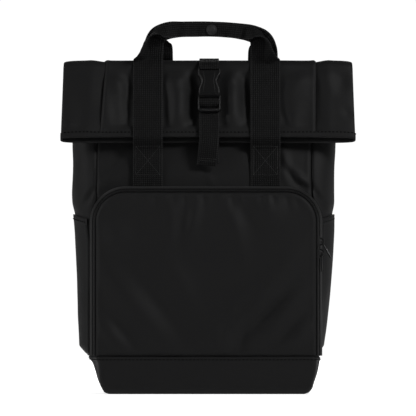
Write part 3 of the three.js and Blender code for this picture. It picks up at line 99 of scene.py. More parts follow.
# Creases of the flap: across from the middle, down from the fold, lean from upright in degrees, half length,
# half width and rise, where a dent has a negative rise
FLAP_CREASES = {
    "across": [-17, 48, 20, -54, -110, -119, -126, -101, -175, -39, -53, -19, 26, 45, 29, 52,
               19, 105, 98, 126, 152, 171, 178, -150, -160, 108, -90, -30, 38, -45, 112],
    "down": [42, 36, 50, 62, 30, 61, 68, 52, 82, 66, 70, 66, 45, 42, 76, 60,
             76, 50, 72, 50, 21, 19, 64, 30, 55, 84, 80, 25, 22, 25, 22],
    "lean": [0, 0, 0, 0, 38, 0, 0, 0, 36, 0, 6, 0, 0, 0, 4, 0,
             0, 14, 28, 0, 20, 0, 35, 0, 10, 20, 0, 60, -60, -50, -40],
    "long": [46, 34, 36, 26, 15, 20, 20, 42, 10, 24, 22, 32, 16, 16, 20, 38,
             20, 34, 14, 36, 18, 14, 10, 24, 30, 12, 14, 16, 16, 18, 20],
    "wide": [8, 8, 6, 6, 8, 7, 7, 8, 5, 8, 7, 8, 9, 9, 8, 8,
             7, 9, 5, 12, 8, 8, 5, 15, 13, 6, 7, 9, 9, 8, 9],
    "rise": [-4.5, -4.5, -2.4, -2.2, 2.0, -1.8, 1.2, -4.2, 1.0, 1.0, -0.8, -1.2, 0.8, 0.5, 1.0,
             -1.2, -0.8, 1.2, -1.5, -1.4, 1.6, -1.5, -1.0, 0.9, -0.9, 1.0, 0.8, -1.0, -1.2, 1.0, 1.0],
}
# Creases of the front panel above the pocket: across, up from the floor, and the rest as above. Both tables'
# rises are multiplied by CREASE_HEIGHT.
CREASE_HEIGHT = 1.5
FRONT_CREASES = {
    "across": [98, 103, 116, 120, -128, -112, -3, 2, -45, 40, 84],
    "up": [292, 280, 274, 263, 268, 300, 282, 270, 290, 300, 262],
    "lean": [-8, -40, -52, -70, 48, 40, 12, -30, 80, 78, -50],
    "long": [16, 15, 16, 12, 22, 22, 8, 9, 18, 20, 10],
    "wide": [4.5, 3.6, 3.6, 3, 7, 8, 2.6, 2.2, 10, 9, 3.5],
    "rise": [2.6, -2.8, 2.4, -1.6, 1.6, -1.6, -0.9, 0.8, -0.7, 0.6, 1.0],
}


def lerp(low, high, share):
    """The value a share of the way from low to high."""
    return low + (high - low) * share


def smooth(x):
    """A soft step: 0 below 0, 1 above 1, and 3x squared less 2x cubed between."""
    x = np.clip(x, 0, 1)
    return x * x * (3 - 2 * x)


def curve(keys, values, at):
    """A smooth line through a table: cubics between its rows, with slopes taken from the rows beside."""
    keys, values, at = np.asarray(keys, float), np.asarray(values, float), np.asarray(at, float)
    slope = np.gradient(values, keys)
    i = np.clip(np.searchsorted(keys, at, side="right") - 1, 0, len(keys) - 2)
    step = keys[i + 1] - keys[i]
    s = np.clip((at - keys[i]) / step, 0, 1)
    return ((1 + 2 * s) * (1 - s) ** 2 * values[i] + s * (1 - s) ** 2 * step * slope[i]
            + s * s * (3 - 2 * s) * values[i + 1] + s * s * (s - 1) * step * slope[i + 1])


def hill(x):
    """A round hill of height 1 and half width 1: the square of 1 less x squared."""
    return np.maximum(0, 1 - x * x) ** 2


def creases(table, across, up, up_key):
    """Soft folds summed over a table's rows: each is a bell along its own line times a bell
    across it, and both bells are e to the power of less the square of the distance."""
    total = 0
    columns = [table[key] for key in ("across", up_key, "lean", "long", "wide", "rise")]
    for x, z, lean, length, wide, rise in zip(*columns):
        turn = np.radians(lean)
        along = (across - x) * np.sin(turn) + (up - z) * np.cos(turn)
        beside = (across - x) * np.cos(turn) - (up - z) * np.sin(turn)
        softened = 0.7 + 1.1 * wide
        total = total + rise * np.exp(-(along / length) ** 2 - (beside / softened) ** 2)
    return total


def crumple(a, b, seed, size=1.0):
    """Slack in the cloth: ten sine waves in seeded directions, 25 to 90 mm long, where each one's
    height is its length over 900, times size."""
    random = np.random.default_rng(seed)
    total = 0
    for _ in range(10):
        turn, phase, length = random.uniform(0, np.pi), random.uniform(0, 2 * np.pi), random.uniform(25, 90)
        wave = (a * np.cos(turn) + b * np.sin(turn)) / length
        total = total + length * np.sin(2 * np.pi * wave + phase)
    return total * size / 900


def joined(*parts):
    """Arrays of coordinates brought to one shape and joined to points."""
    return np.stack(np.broadcast_arrays(*parts), -1)


def unit(vectors):
    """Vectors brought to length 1."""
    return vectors / np.maximum(np.linalg.norm(vectors, axis=-1, keepdims=True), 1e-9)


def touch_angle(y, z, radius, turn):
    """The angle about the fold's centre at which a line from a point touches a circle of that radius."""
    return np.arctan2(z - FOLD_Z, y - FOLD_Y) + turn * np.arccos(radius / np.hypot(y - FOLD_Y, z - FOLD_Z))


def make_layer(base, shoulder, radius, out, extra):
    """One layer of the tube: its depth at the foot, where it starts to lean, its radius round the fold."""
    start = touch_angle(base, shoulder, radius, 1)
    return {"base": base, "shoulder": shoulder, "radius": radius, "out": out, "extra": extra, "start": start,
            "end_y": FOLD_Y + radius * np.cos(start), "end_z": FOLD_Z + radius * np.sin(start)}


FRONT = make_layer(FRONT_Y, POCKET_TOP, FOLD_CORE, -1, INNER_DROP)
BACK = make_layer(BACK_Y, SHOULDER_UP, FOLD_OUTER, 1, 0)


def layer_y(layer, z):
    """Depth of a layer at a height below the fold: upright, then leaning to the fold through a soft bend."""
    softness = 0.25
    share = (z - layer["shoulder"]) / (layer["end_z"] - layer["shoulder"])
    bend = np.where(share > softness, share, np.maximum(share + softness, 0) ** 2 / (4 * softness))
    return layer["base"] + (layer["end_y"] - layer["base"]) * bend


FLAP_FOOT = ROLL_TOP - FLAP_DROP
REST_Y = layer_y(FRONT, FLAP_FOOT) - FRONT_BULGE - FLAP_REST
FLAP_TURN = touch_angle(REST_Y, FLAP_FOOT, FOLD_CORE, -1) + 2 * np.pi
FLAP_WAY = np.array([0, -np.sin(FLAP_TURN), np.cos(FLAP_TURN)])
FLAP_OUT = np.array([0, np.cos(FLAP_TURN), np.sin(FLAP_TURN)])
FLAP_LENGTH = FLAP_DROP / -FLAP_WAY[2] - FOLD_OUTER


def layer_point(layer, t):
    """Depth and height along a layer: t is 0 to 1 up the body, to 2 round the fold, to 3 down the flap."""
    t = np.asarray(t, float)
    z = np.where(t < 0, lerp(BODY_FOOT, BASE_FLOOR + SEAM_GAP, -t), lerp(BODY_FOOT, layer["end_z"], t))
    angle = lerp(layer["start"], FLAP_TURN, np.clip(t - 1, 0, 1))
    down = np.maximum(t - 2, 0) * (FLAP_LENGTH + layer["extra"])
    fold_y = FOLD_Y + layer["radius"] * np.cos(angle) + down * FLAP_WAY[1]
    fold_z = FOLD_Z + layer["radius"] * np.sin(angle) + down * FLAP_WAY[2]
    return np.where(t <= 1, layer_y(layer, z), fold_y), np.where(t <= 1, z, fold_z)


def layer_out(layer, t):
    """The unit direction out of the bag at a layer, at right angles to the way along it."""
    y0, z0 = layer_point(layer, t - 0.01)
    y1, z1 = layer_point(layer, t + 0.01)
    length = np.hypot(y1 - y0, z1 - z0)
    flap = t >= 2
    out_y = np.where(flap, FLAP_OUT[1], (z1 - z0) / length)
    out_z = np.where(flap, FLAP_OUT[2], (y0 - y1) / length)
    return layer["out"] * out_y, layer["out"] * out_z


def roll_share(z):
    """How far the section is pressed towards the flat mouth: 0 low on the body, 1 near the fold."""
    return smooth((z - (BODY_FOOT + ROLL_TOP) / 2 - BASE_HEIGHT) / (FOLD_Z - POCKET_TOP))


def spread(side, t):
    """Half widths of the tube to the seam and to the edge, and the power of the sides' rounding."""
    name = "left" if side < 0 else "right"
    z = lerp(BODY_FOOT, FOLD_Z, np.clip(t, 0, 1))
    pressed = np.where(np.asarray(t) >= 1, 1.0, roll_share(z))
    mouth = HALF_MOUTH * curve(MOUTH_SHAPE["along"], MOUTH_SHAPE["reach"], t)
    seam = curve(BODY_SHAPE["up"], BODY_SHAPE["seam_" + name], z / ROLL_TOP) * HALF_PANEL
    edge = curve(BODY_SHAPE["up"], BODY_SHAPE[name], z / ROLL_TOP) * HALF_BODY
    slant = SEAM_SLANT[name] * smooth((t - 1) * 1.5) * np.clip(3 - t, 0, 1)
    power = lerp(1, PRESSED_POWER, pressed)
    return lerp(seam, HALF_PANEL - slant, pressed), lerp(edge, mouth, pressed), power


def pocket_recess(z):
    """How far the body's side is pressed in behind its slip pocket: most low down, a little at the hem."""
    behind_hem, start_below, fade, hem_below = 3.0, 38, 34, 2
    low = (RECESS - behind_hem) * (1 - smooth((z - SIDE_POCKET_TOP + start_below) / fade))
    return low + behind_hem * (1 - smooth((z - SIDE_POCKET_TOP + hem_below) / RECESS_FADE))


def side_point(side, t, angle, inset=0.0, pressed_in=None):
    """A point of a side panel: an arch from the front seam (angle -90) out to the edge and on to the
    back seam (90). Its two parts are powers of the angle's cosine and sine."""
    angle = np.radians(angle)
    if pressed_in is None:
        pressed_in = pocket_recess(lerp(BODY_FOOT, FOLD_Z, np.minimum(t, 1)))
    front_y, front_z = layer_point(FRONT, t)
    back_y, back_z = layer_point(BACK, t)
    seam, edge, power = spread(side, t)
    half = np.hypot(back_y - front_y, back_z - front_z) / 2
    reach = np.sign(angle) * np.abs(np.sin(angle)) ** power * (half - inset) / half
    out = seam + SEAM_GAP / 2 + (edge - pressed_in - seam - inset) * np.maximum(np.cos(angle), 0) ** power
    return joined(side * out, (front_y + back_y) / 2 + reach * (back_y - front_y) / 2,
                  (front_z + back_z) / 2 + reach * (back_z - front_z) / 2)


def puff(layer, t, x):
    """How far a layer puffs out: the body like a pillow, the flap in the hills of its table."""
    body = (FRONT_BULGE if layer["out"] < 0 else BACK_BULGE) * np.maximum(0, 1 - (x / HALF_PANEL) ** 2)
    rise = np.where((t >= 0) & (t <= 1), body * np.sin(np.pi * np.clip(t, 0, 1)) ** 0.7, 0.0)
    if layer["out"] > 0:
        ends = smooth((t - 2) * 4) * smooth((3 - t) * 4)
        for across, along, high, wide, tall in zip(*FLAP_PUFFS.values()):
            hills = hill((x / HALF_MOUTH - across) / wide) * hill((t - 2 - along) / tall)
            rise = rise + PUFF_RISE * high * hills * ends
    return rise


def panel_point(layer, t, x, out=0.0):
    """A point of the front or back panel, moved out of the bag by its puff and by out."""
    y, z = layer_point(layer, t)
    out_y, out_z = layer_out(layer, t)
    move = puff(layer, t, x) + out
    return joined(x, y + out_y * move, z + out_z * move)


def panel_y(layer, x, z):
    """Depth of a panel's outside at a height below the fold."""
    return layer_y(layer, z) + layer["out"] * puff(layer, (z - BODY_FOOT) / (layer["end_z"] - BODY_FOOT), x)


def seam_dip(distance):
    """The way cloth turns in at a seam: a narrow bell down at the seam and a low wide one up beside it."""
    dip, dip_width, ridge, ridge_place, ridge_width = 2.0, 1.25, 0.4, 4.2, 2.4
    raised = ridge * np.exp(-((distance - ridge_place) / ridge_width) ** 2)
    return raised - dip * np.exp(-(distance / dip_width) ** 2)


def grid_normals(points):
    """Unit normals of a grid of points, from the steps along its rows and down its columns."""
    return unit(np.cross(np.gradient(points, axis=1), np.gradient(points, axis=0)))


def grid_lengths(points):
    """Real distances across and along a grid, in metres, measured on its middle row and middle column."""
    def run(line):
        """Distance along a line to each of its points: the sum of its steps."""
        return np.concatenate([[0], np.cumsum(np.linalg.norm(np.diff(line, axis=0), axis=1))]) * MM
    across = run(points[points.shape[0] // 2])
    along = run(points[:, points.shape[1] // 2])
    return np.stack(np.meshgrid(across - across[-1] / 2, along), -1)


def wall_faces(rows, columns):
    """Faces of a wall between an outer and an inner grid: both grids, and rims that close its open edges."""
    index = np.arange(rows * columns).reshape(rows, columns)
    inner = index + rows * columns

    def quads(a, b, c, d):
        """Faces from four arrays of corners."""
        return np.stack([a, b, c, d], -1).reshape(-1, 4)
    return np.concatenate([quads(index[:-1, :-1], index[:-1, 1:], index[1:, 1:], index[1:, :-1]),
                           quads(inner[:-1, :-1], inner[1:, :-1], inner[1:, 1:], inner[:-1, 1:]),
                           quads(index[0, 1:], index[0, :-1], inner[0, :-1], inner[0, 1:]),
                           quads(index[-1, :-1], index[-1, 1:], inner[-1, 1:], inner[-1, :-1]),
                           quads(index[:-1, 0], index[1:, 0], inner[1:, 0], inner[:-1, 0]),
                           quads(index[1:, -1], index[:-1, -1], inner[:-1, -1], inner[1:, -1])])


def make_piece(name, points, faces, uv, finish, nodes=(), sharp=40):
    """A mesh object from points in millimetres, faces that are turned to point out, and a UV in metres."""
    points = np.asarray(points, float) * MM
    faces = np.asarray(faces)
    corner = points[faces]
    volume = np.einsum("ij,ij->", corner[:, 0], np.cross(corner[:, 1], corner[:, 2])
                       + np.cross(corner[:, 2], corner[:, 3]) + np.cross(corner[:, 3], corner[:, 1]))
    if volume < 0:
        faces = faces[:, ::-1]
    mesh = bpy.data.meshes.new(name)
    mesh.from_pydata(points, [], faces)
    layer = mesh.uv_layers.new(name="flat")
    layer.data.foreach_set("uv", np.asarray(uv, np.float32)[faces].ravel())
    mesh.polygons.foreach_set("use_smooth", np.ones(len(faces), bool))
    mesh.set_sharp_from_angle(angle=np.radians(sharp))
    mesh.materials.append(finish)
    piece = bpy.data.objects.new(name, mesh)
    bpy.context.scene.collection.objects.link(piece)
    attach(piece, "bag")
    if nodes:
        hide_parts(*nodes)
    return piece


def make_wall(name, outer, finish, nodes):
    """A cloth wall from its outside grid: the inside lies a thickness below it along the grid's normals."""
    inner = outer - grid_normals(outer) * WALL
    points = np.concatenate([outer.reshape(-1, 3), inner.reshape(-1, 3)])
    flat = grid_lengths(outer).reshape(-1, 2)
    make_piece(name, points, wall_faces(*outer.shape[:2]), np.concatenate([flat, flat]), finish, nodes)


def add_node(tree, kind, inputs=(), **settings):
    """One shader node, with its settings, and its inputs set to values or linked to other nodes' outputs."""
    node = tree.nodes.new(kind)
    for key, value in settings.items():
        setattr(node, key, value)
    for socket, value in dict(inputs).items():
        if isinstance(value, bpy.types.NodeSocket):
            tree.links.new(value, node.inputs[socket])
        else:
            node.inputs[socket].default_value = value
    return node


def new_finish(name, roughness, specular, sheen=0.0, metallic=0.0):
    """A material with one Principled shader whose even values are set on its own sockets."""
    material = bpy.data.materials.new(name)
    material.use_nodes = True
    tree = material.node_tree
    shader = tree.nodes["Principled BSDF"]
    shader.inputs["Roughness"].default_value = roughness
    shader.inputs["Specular IOR Level"].default_value = specular
    shader.inputs["Sheen Weight"].default_value = sheen
    shader.inputs["Sheen Roughness"].default_value = 0.5
    shader.inputs["Metallic"].default_value = metallic
    return material, tree, shader


def maths(tree, operation, a, b=0.0):
    """The output of one Math node."""
    return add_node(tree, "ShaderNodeMath", {0: a, 1: b}, operation=operation).outputs[0]


def tint(tree, factor, dark, light):
    """A colour between dark and light, by a factor."""
    node = add_node(tree, "ShaderNodeMix", {0: factor, 6: (*dark, 1), 7: (*light, 1)}, data_type="RGBA")
    return node.outputs[2]


def noise(tree, scale, detail):
    """A factor that varies through the piece: noise at its Object coordinates."""
    place = add_node(tree, "ShaderNodeTexCoord")
    sockets = {"Vector": place.outputs["Object"], "Scale": float(scale), "Detail": float(detail)}
    return add_node(tree, "ShaderNodeTexNoise", sockets).outputs["Fac"]


def relief(tree, shader, height, strength, distance):
    """Bumps the shader's normal by a height that spans that distance in metres."""
    bump = add_node(tree, "ShaderNodeBump", {"Height": height, "Strength": strength, "Distance": distance})
    tree.links.new(bump.outputs[0], shader.inputs["Normal"])


def uneven_gloss(tree, shader, factor, low, high):
    """Roughness that runs from low to high with a factor."""
    rough = add_node(tree, "ShaderNodeMapRange", {"Value": factor, "To Min": low, "To Max": high})
    tree.links.new(rough.outputs[0], shader.inputs["Roughness"])


def thread_waves(tree, across, along):
    """Two sine waves over the flat map, with those wavelengths in metres, and the map's own axes."""
    flat = add_node(tree, "ShaderNodeUVMap", uv_map="flat")
    axes = add_node(tree, "ShaderNodeSeparateXYZ", {0: flat.outputs[0]}).outputs
    waves = [maths(tree, "SINE", maths(tree, "MULTIPLY", axes[k], 2 * np.pi / length))
             for k, length in enumerate((across, along))]
    return waves, axes


def cloth_finish(name, dark, light, roughness, specular):
    """Coated cloth: a fine plain weave under a rubbery film, uneven in tone over a hand's width."""
    material, tree, shader = new_finish(name, roughness, specular, sheen=0.06)
    thread = 0.00075
    (warp, weft), _ = thread_waves(tree, thread, thread)
    weave = maths(tree, "MULTIPLY", warp, weft)
    grain, cloud = noise(tree, 1400, 3), noise(tree, 14, 4)
    relief(tree, shader, maths(tree, "ADD", maths(tree, "MULTIPLY", weave, 0.35), grain), 0.35, 0.00012)
    tree.links.new(tint(tree, cloud, dark, light), shader.inputs["Base Color"])
    uneven_gloss(tree, shader, grain, roughness - 0.07, roughness + 0.07)
    return material


cloth = cloth_finish("coated_cloth", (0.0038, 0.0038, 0.0041), (0.006, 0.006, 0.0064), 0.66, 0.28)

# How far the flap's cloth reaches into the binding
HEM_TUCK = 3.4


def steps_between(ends, counts):
    """Even steps from each end to the next, with that many points to a stretch, its own ends included."""
    stretches = [np.linspace(low, high, count) for low, high, count in zip(ends, ends[1:], counts)]
    return np.concatenate([*(stretch[:-1] for stretch in stretches), stretches[-1][-1:]])


body_steps = steps_between([0, 1, 2, 3 + HEM_TUCK / FLAP_LENGTH], [150, 26, 68])


def panel_grid(layer, steps, columns, shape):
    """A panel's outside: rows along the tube, columns crowded at both seams, moved by dips and creases."""
    t = steps[:, None]
    left, right = -spread(-1, t)[0] + SEAM_GAP / 2, spread(1, t)[0] - SEAM_GAP / 2
    even = np.linspace(-1, 1, columns)[None, :]
    crowding = 0.22
    x = lerp(left, right, 0.5 + (0.5 - crowding) * even + crowding * np.sin(even * np.pi / 2))
    inside = np.minimum(x - left, right - x)
    return panel_point(layer, t, x, seam_dip(inside) + shape(t, x))


def flap_creases(x, down):
    """Creases of the flap from its table, and broad slack of the whole flap."""
    slack, finer, seed = 1.1, 1.3, 77
    loose = slack * crumple(finer * x, finer * down, seed)
    return CREASE_HEIGHT * creases(FLAP_CREASES, x, down, "down") + loose


def back_shape(t, x):
    """Creases and slack of the back panel, which fade where it goes over the fold and hems at the mouth."""
    down = (t - 2) * FLAP_LENGTH
    flap = flap_creases(x, np.broadcast_to(down, x.shape)) * smooth((t - 2) * 6) * smooth((3 - t) * 9)
    body_length, seed = 360, 3
    # Full slack on the body, a third of it over the fold, and most of it again on the flap
    loose = 0.35 + 0.65 * smooth((1 - t) * 4) + 0.5 * smooth((t - 2.1) * 5)
    slack = crumple(x, t * body_length, seed) * smooth(t * 6) * loose
    return flap + slack * smooth((3 - t) * 8)


def front_shape(t, x):
    """Creases and slack of the front panel between the pocket and the flap."""
    z = np.broadcast_to(lerp(BODY_FOOT, FRONT["end_z"], t), x.shape)
    fade, hidden_from, slack, seed = 20, 345, 0.6, 5
    shown = smooth((z - POCKET_TOP + fade) / fade) * smooth((hidden_from - z) / fade)
    loose = slack * crumple(x, z, seed)
    return (CREASE_HEIGHT * creases(FRONT_CREASES, x, z, "up") + loose) * shown * (t <= 1)


back_grid = panel_grid(BACK, body_steps, 118, back_shape)[:, ::-1]
make_wall("back_cloth", back_grid, cloth, ["back_panel"])
front_steps = np.concatenate([np.linspace(-1, 0, 12)[:-1], body_steps])


def front_grid(steps):
    """The front panel's outside, narrowed below the body's foot so that it stands inside the base."""
    grid = panel_grid(FRONT, steps, 92, front_shape)
    inside = np.minimum(steps, 0)[:, None]
    narrowed_at_rim, narrowed_at_floor = 0.05, 0.16
    grid[..., 0] *= 1 + inside * narrowed_at_floor - narrowed_at_rim * (inside < 0)
    return grid


make_wall("front_cloth", front_grid(front_steps), cloth, ["front_panel"])


def side_grid(side, steps):
    """A side panel's outside, with the dips of its two seams, an upright fold where it is pressed flat,
    a slanted crease beside the pocket's top corner, some slack, and the flap's creases on its outer half."""
    panel_across, gusset_depth, gusset_angle = 110, 4.0, 16
    crease_depth, crease_up, crease_from_seam, crease_slant = 3.6, 250, 9, 0.8
    t = steps[:, None]
    angle = np.linspace(-90, 90, 58)[None, :] * np.ones_like(t)
    grid = side_point(side, t, angle)
    normal = grid_normals(grid)
    normal *= np.where(np.sum(normal * np.array([side, 0, 0])) < 0, -1, 1)
    from_seam = (90 - np.abs(angle)) / 180 * panel_across
    z = lerp(BODY_FOOT, FOLD_Z, np.minimum(t, 1))
    body = smooth((z - SIDE_POCKET_TOP) / 30) * smooth((1 - t) * 6)
    pressed = smooth((z - SHOULDER_UP) / 60) * smooth((1.0 - t) * 10)
    gusset = -gusset_depth * np.exp(-(angle / gusset_angle) ** 2) * pressed
    slack = crumple(grid[..., 1] * 1.2, z, 9 + side, 1.5) * body * smooth(from_seam / 12)
    from_crease = from_seam - crease_from_seam - crease_slant * (crease_up + 4 - z)
    crease = np.exp(-(from_crease / 4.5) ** 2 - ((z - crease_up) / 11) ** 2) * (angle < 0)
    down = np.broadcast_to((t - 2) * FLAP_LENGTH, angle.shape)
    outer_half = smooth((t - 2) * 6) * smooth((3 - t) * 9) * smooth((angle - 8) / 20)
    flap = flap_creases(grid[..., 0], down) * outer_half
    return grid + normal * (seam_dip(from_seam) + gusset + slack - crease_depth * crease + flap)[..., None]


for name, side in (("left", -1), ("right", 1)):
    panel = side_grid(side, body_steps)[:, ::side]
    make_wall("side_cloth_" + name, panel, cloth, ["side_panel_" + name])

# Mouth binding: a folded tape of the same cloth, sewn right round the open mouth. It ends the flap with a
# band about 7 mm deep, and its inner half shows as a lip below the outer one.
BINDING_LENGTH = 7.4
BINDING_PROUD = 0.8
BINDING_START = 2.6


def tube_faces(rings, sides, closed):
    """Faces of a tube of rings; where it isn't closed on itself, its first and last rings are poles."""
    index = np.arange(rings * sides).reshape(rings, sides)
    index = np.concatenate([index, index[:, :1]], 1)
    if closed:
        index = np.concatenate([index, index[:1]], 0)
    return np.stack([index[:-1, :-1], index[:-1, 1:], index[1:, 1:], index[1:, :-1]], -1).reshape(-1, 4)


def weld(piece):
    """Merges the points that lie on each other, so poles and seams are closed."""
    shape = bmesh.new()
    shape.from_mesh(piece.data)
    bmesh.ops.remove_doubles(shape, verts=shape.verts, dist=1e-7)
    bmesh.ops.dissolve_degenerate(shape, edges=shape.edges, dist=1e-7)
    shape.to_mesh(piece.data)
    shape.free()


def make_tube(name, grid, finish, nodes=(), closed=False, sharp=40, uv=None):
    """A closed-section tube from a grid of rings; open tubes get a pole in the middle of each end."""
    flat = grid_lengths(np.concatenate([grid, grid[:, :1]], 1))[:, :-1] if uv is None else uv
    if not closed:
        first, last = [np.broadcast_to(ring.mean(0), ring.shape)[None] for ring in (grid[0], grid[-1])]
        grid = np.concatenate([first, grid, last])
        flat = np.concatenate([flat[:1], flat, flat[-1:]])
    piece = make_piece(name, grid.reshape(-1, 3), tube_faces(*grid.shape[:2], closed), flat.reshape(-1, 2),
                       finish, nodes, sharp)
    weld(piece)
    return piece


def mouth_ring(inset):
    """A closed line right round the mouth: the flap's outside, the right edge, its inside, the left edge."""
    across, round_side = 90, 24
    inset = np.asarray(inset, float)[:, None]
    x = np.linspace(-HALF_PANEL, HALF_PANEL, across)[None, :]
    turn = np.linspace(90, -90, round_side + 2)[None, 1:-1]
    wave = crumple(np.concatenate([x, x[:, ::-1]], 1), 0.0, 31)
    top = panel_point(BACK, 3.0, x, -inset + wave[:, :across])
    low = panel_point(FRONT, 3.0, x[:, ::-1], -inset + wave[:, across:])
    return np.concatenate([top, side_point(1, 3.0, turn, inset, 0.0), low,
                           side_point(-1, 3.0, turn[:, ::-1], inset, 0.0)], 1)


def rounded_box(low, high, foot, top, corner):
    """Points round a rectangle with rounded corners, four to a corner, as two arrays."""
    turn = np.radians(np.linspace(0, 90, 4))
    cos, sin = corner * np.cos(turn), corner * np.sin(turn)
    low, high, foot, top = low + corner, high - corner, foot + corner, top - corner
    return (np.concatenate([high + cos, low - sin, low - cos, high + sin]),
            np.concatenate([top + sin, top + cos, foot - sin, foot - cos]))


section_in, section_down = rounded_box(-BINDING_PROUD, WALL + BINDING_PROUD, BINDING_START,
                                       BINDING_START + BINDING_LENGTH, 1.1)
binding_grid = mouth_ring(section_in) + section_down[:, None, None] * FLAP_WAY
make_tube("mouth_hem", binding_grid.swapaxes(0, 1), cloth, ["mouth_binding"], closed=True)

# Base: a boat of the same cloth, seamed to the bag 48 mm up and stiffened by a board inside. The bag stands
# on it. Its shape's rows are shares of the rim's own reach at each share of its height.
BASE_SHAPE = {
    "up": [0, 0.03, 0.1, 0.3, 0.62, 0.8, 1.0],
    "left": [0.855, 0.883, 0.905, 0.934, 0.957, 0.969, 1.0],
    "right": [0.86, 0.89, 0.915, 0.943, 0.978, 0.99, 1.0],
    "shallow": [0.84, 0.88, 0.93, 0.965, 0.99, 0.996, 1.0],
    "bulge": [0, 0, 0.05, 0.2, 0.5, 0.72, 1.0],
}
POCKET_WIDTH = 279
POCKET_SHIFT = -2.5
FACE_LEFT = POCKET_SHIFT - POCKET_WIDTH / 2
FACE_RIGHT = POCKET_SHIFT + POCKET_WIDTH / 2
RIM_POINTS = 360
FOOT_WIDER = 0.035


def base_rim(bulge):
    """The base seen from above at one level, as equal steps round it, with its corners softened."""
    turn = np.linspace(-90, 90, 30)
    right, left = side_point(1, 0.0, turn), side_point(-1, 0.0, turn[::-1])
    seam_right, seam_left = spread(1, 0.0)[0], -spread(-1, 0.0)[0]
    wider = 1 + FOOT_WIDER * (1 - bulge)
    x = np.concatenate([[FACE_LEFT * wider, FACE_RIGHT * wider], lerp(seam_right, right[:, 0], bulge),
                        lerp(seam_left, left[:, 0], bulge), [FACE_LEFT * wider]])
    y = np.concatenate([[FACE_Y, FACE_Y], right[:, 1], left[:, 1], [FACE_Y]])
    run = np.concatenate([[0], np.cumsum(np.hypot(np.diff(x), np.diff(y)))])
    at = np.linspace(0, run[-1], RIM_POINTS, endpoint=False)
    ring = np.stack([np.interp(at, run, x), np.interp(at, run, y)], -1)
    beside = 4
    kernel = np.hanning(2 * beside + 1)
    padded = np.concatenate([ring[-beside:], ring, ring[:beside]])
    return np.stack([np.convolve(padded[:, k], kernel / kernel.sum(), mode="valid") for k in (0, 1)], -1)


def base_ring(up, inset=0.0):
    """The base's rim at a share of its height, drawn in all round by inset."""
    row = {key: curve(BASE_SHAPE["up"], BASE_SHAPE[key], up) for key in ("left", "right", "shallow", "bulge")}
    ring = base_rim(row["bulge"])
    ring = ring * joined(np.where(ring[:, 0] < 0, row["left"], row["right"]), row["shallow"])
    way = np.roll(ring, -1, 0) - np.roll(ring, 1, 0)
    out = np.stack([way[:, 1], -way[:, 0]], -1) / np.linalg.norm(way, axis=1, keepdims=True)
    seam = seam_dip((1 - up) * BASE_HEIGHT)
    slack = 0.8 * crumple(ring[:, 0], ring[:, 1] + up * BASE_HEIGHT, 17) * np.sin(np.pi * np.clip(up, 0, 1))
    return ring + out * (seam + slack - inset)[:, None]


def base_levels(ups, inset=0.0):
    """A grid of the base's rims at several shares of its height."""
    return np.stack([joined(*base_ring(up, inset).T, up * BASE_HEIGHT) for up in ups])


outer_ups = steps_between([0, 0.12, 0.86, 1], [10, 24, 14])
base_outside = base_levels(outer_ups)
base_inside = base_levels(np.linspace(1, BASE_FLOOR / BASE_HEIGHT, 12), WALL)
make_tube("base_cloth", np.concatenate([base_outside, base_inside]), cloth, ["base_panel"])

# Front pocket: a flat face with rounded top corners, and a gusset of three bands round its sides and top. The
# first band is bound with ribbed tape, the second is the zip, and the third is sewn to the bag.
POCKET_CORNER = 38
POCKET_FLARE = 6.2
POCKET_CROWN = 7
# How much lower the face's top edge lies than the solid's
POCKET_LOWER = 2.6
FACE_TOP = POCKET_TOP - POCKET_FLARE - POCKET_LOWER
# Folds of the face, with the same columns as the front panel's. Broad ones run down from the middle of both
# sides to the lower corners, and short gathers hang under the top seam.
FACE_CREASES = {
    "across": [-91, -122, -106, -58, 60, 89, 76, 117, 105, 22, 44, -19, -30, 36, 48, -47, -116, 78, -35,
               -90, -78, -66, -55, -44, -28, -16, -5, 7, 16, 30, 42, 68, 76, 83, 100, 113],
    "up": [106, 72, 78, 108, 118, 94, 104, 74, 84, 64, 72, 221, 214, 206, 228, 220, 202, 232, 140,
           250, 251, 250, 251, 250, 249, 251, 250, 250, 251, 249, 250, 249, 251, 249, 248, 243],
    "lean": [-38, -39, -39, -38, 43, 43, 43, 50, 46, 2, 10, 14, 18, -15, -32, 3, -60, -50, -30,
             8, 0, 3, 0, -4, 5, 0, 3, -2, 0, -6, 0, 4, 0, -6, -8, -20],
    "long": [74, 30, 30, 60, 68, 44, 46, 22, 24, 18, 22, 24, 22, 38, 24, 28, 16, 16, 40,
             10, 8, 13, 8, 12, 14, 8, 13, 9, 8, 15, 9, 14, 8, 12, 12, 9],
    "wide": [14, 9, 6, 9, 12, 9, 6, 7, 5, 6, 5, 7, 8, 8, 9, 8, 15, 14, 12,
             2.4, 2.2, 3, 2.2, 2.6, 3, 2.2, 2.6, 2.4, 2.2, 3, 2.2, 3, 2.2, 2.8, 3, 3],
    "rise": [5.6, 4.0, -2.4, -2.6, 6.4, 4.0, -2.4, 3.2, -2.0, 3.2,
             -2.0, 3.8, -2.2, 2.4, -2.4, 2.6, 4.5, 4.0, 3.2,
             -1.1, 0.7, -1.3, 0.7, -1.1, -1.4, 0.8, -1.3, -0.8, 0.8, -1.4, 0.8, -1.3, 0.7, -1.1, -1.1, -0.9],
}


def face_inside(x, z):
    """Distance inside the face's outline: a rectangle whose two top corners are round."""
    half = POCKET_WIDTH / 2 - POCKET_CORNER
    beside = np.abs(x - POCKET_SHIFT) - half
    above = z - (FACE_TOP - POCKET_CORNER)
    round_in = POCKET_CORNER - np.hypot(np.maximum(beside, 0), np.maximum(above, 0))
    return np.minimum(np.where((beside > 0) & (above > 0), round_in,
                               np.minimum(POCKET_CORNER - beside, FACE_TOP - z)), z - BODY_FOOT)


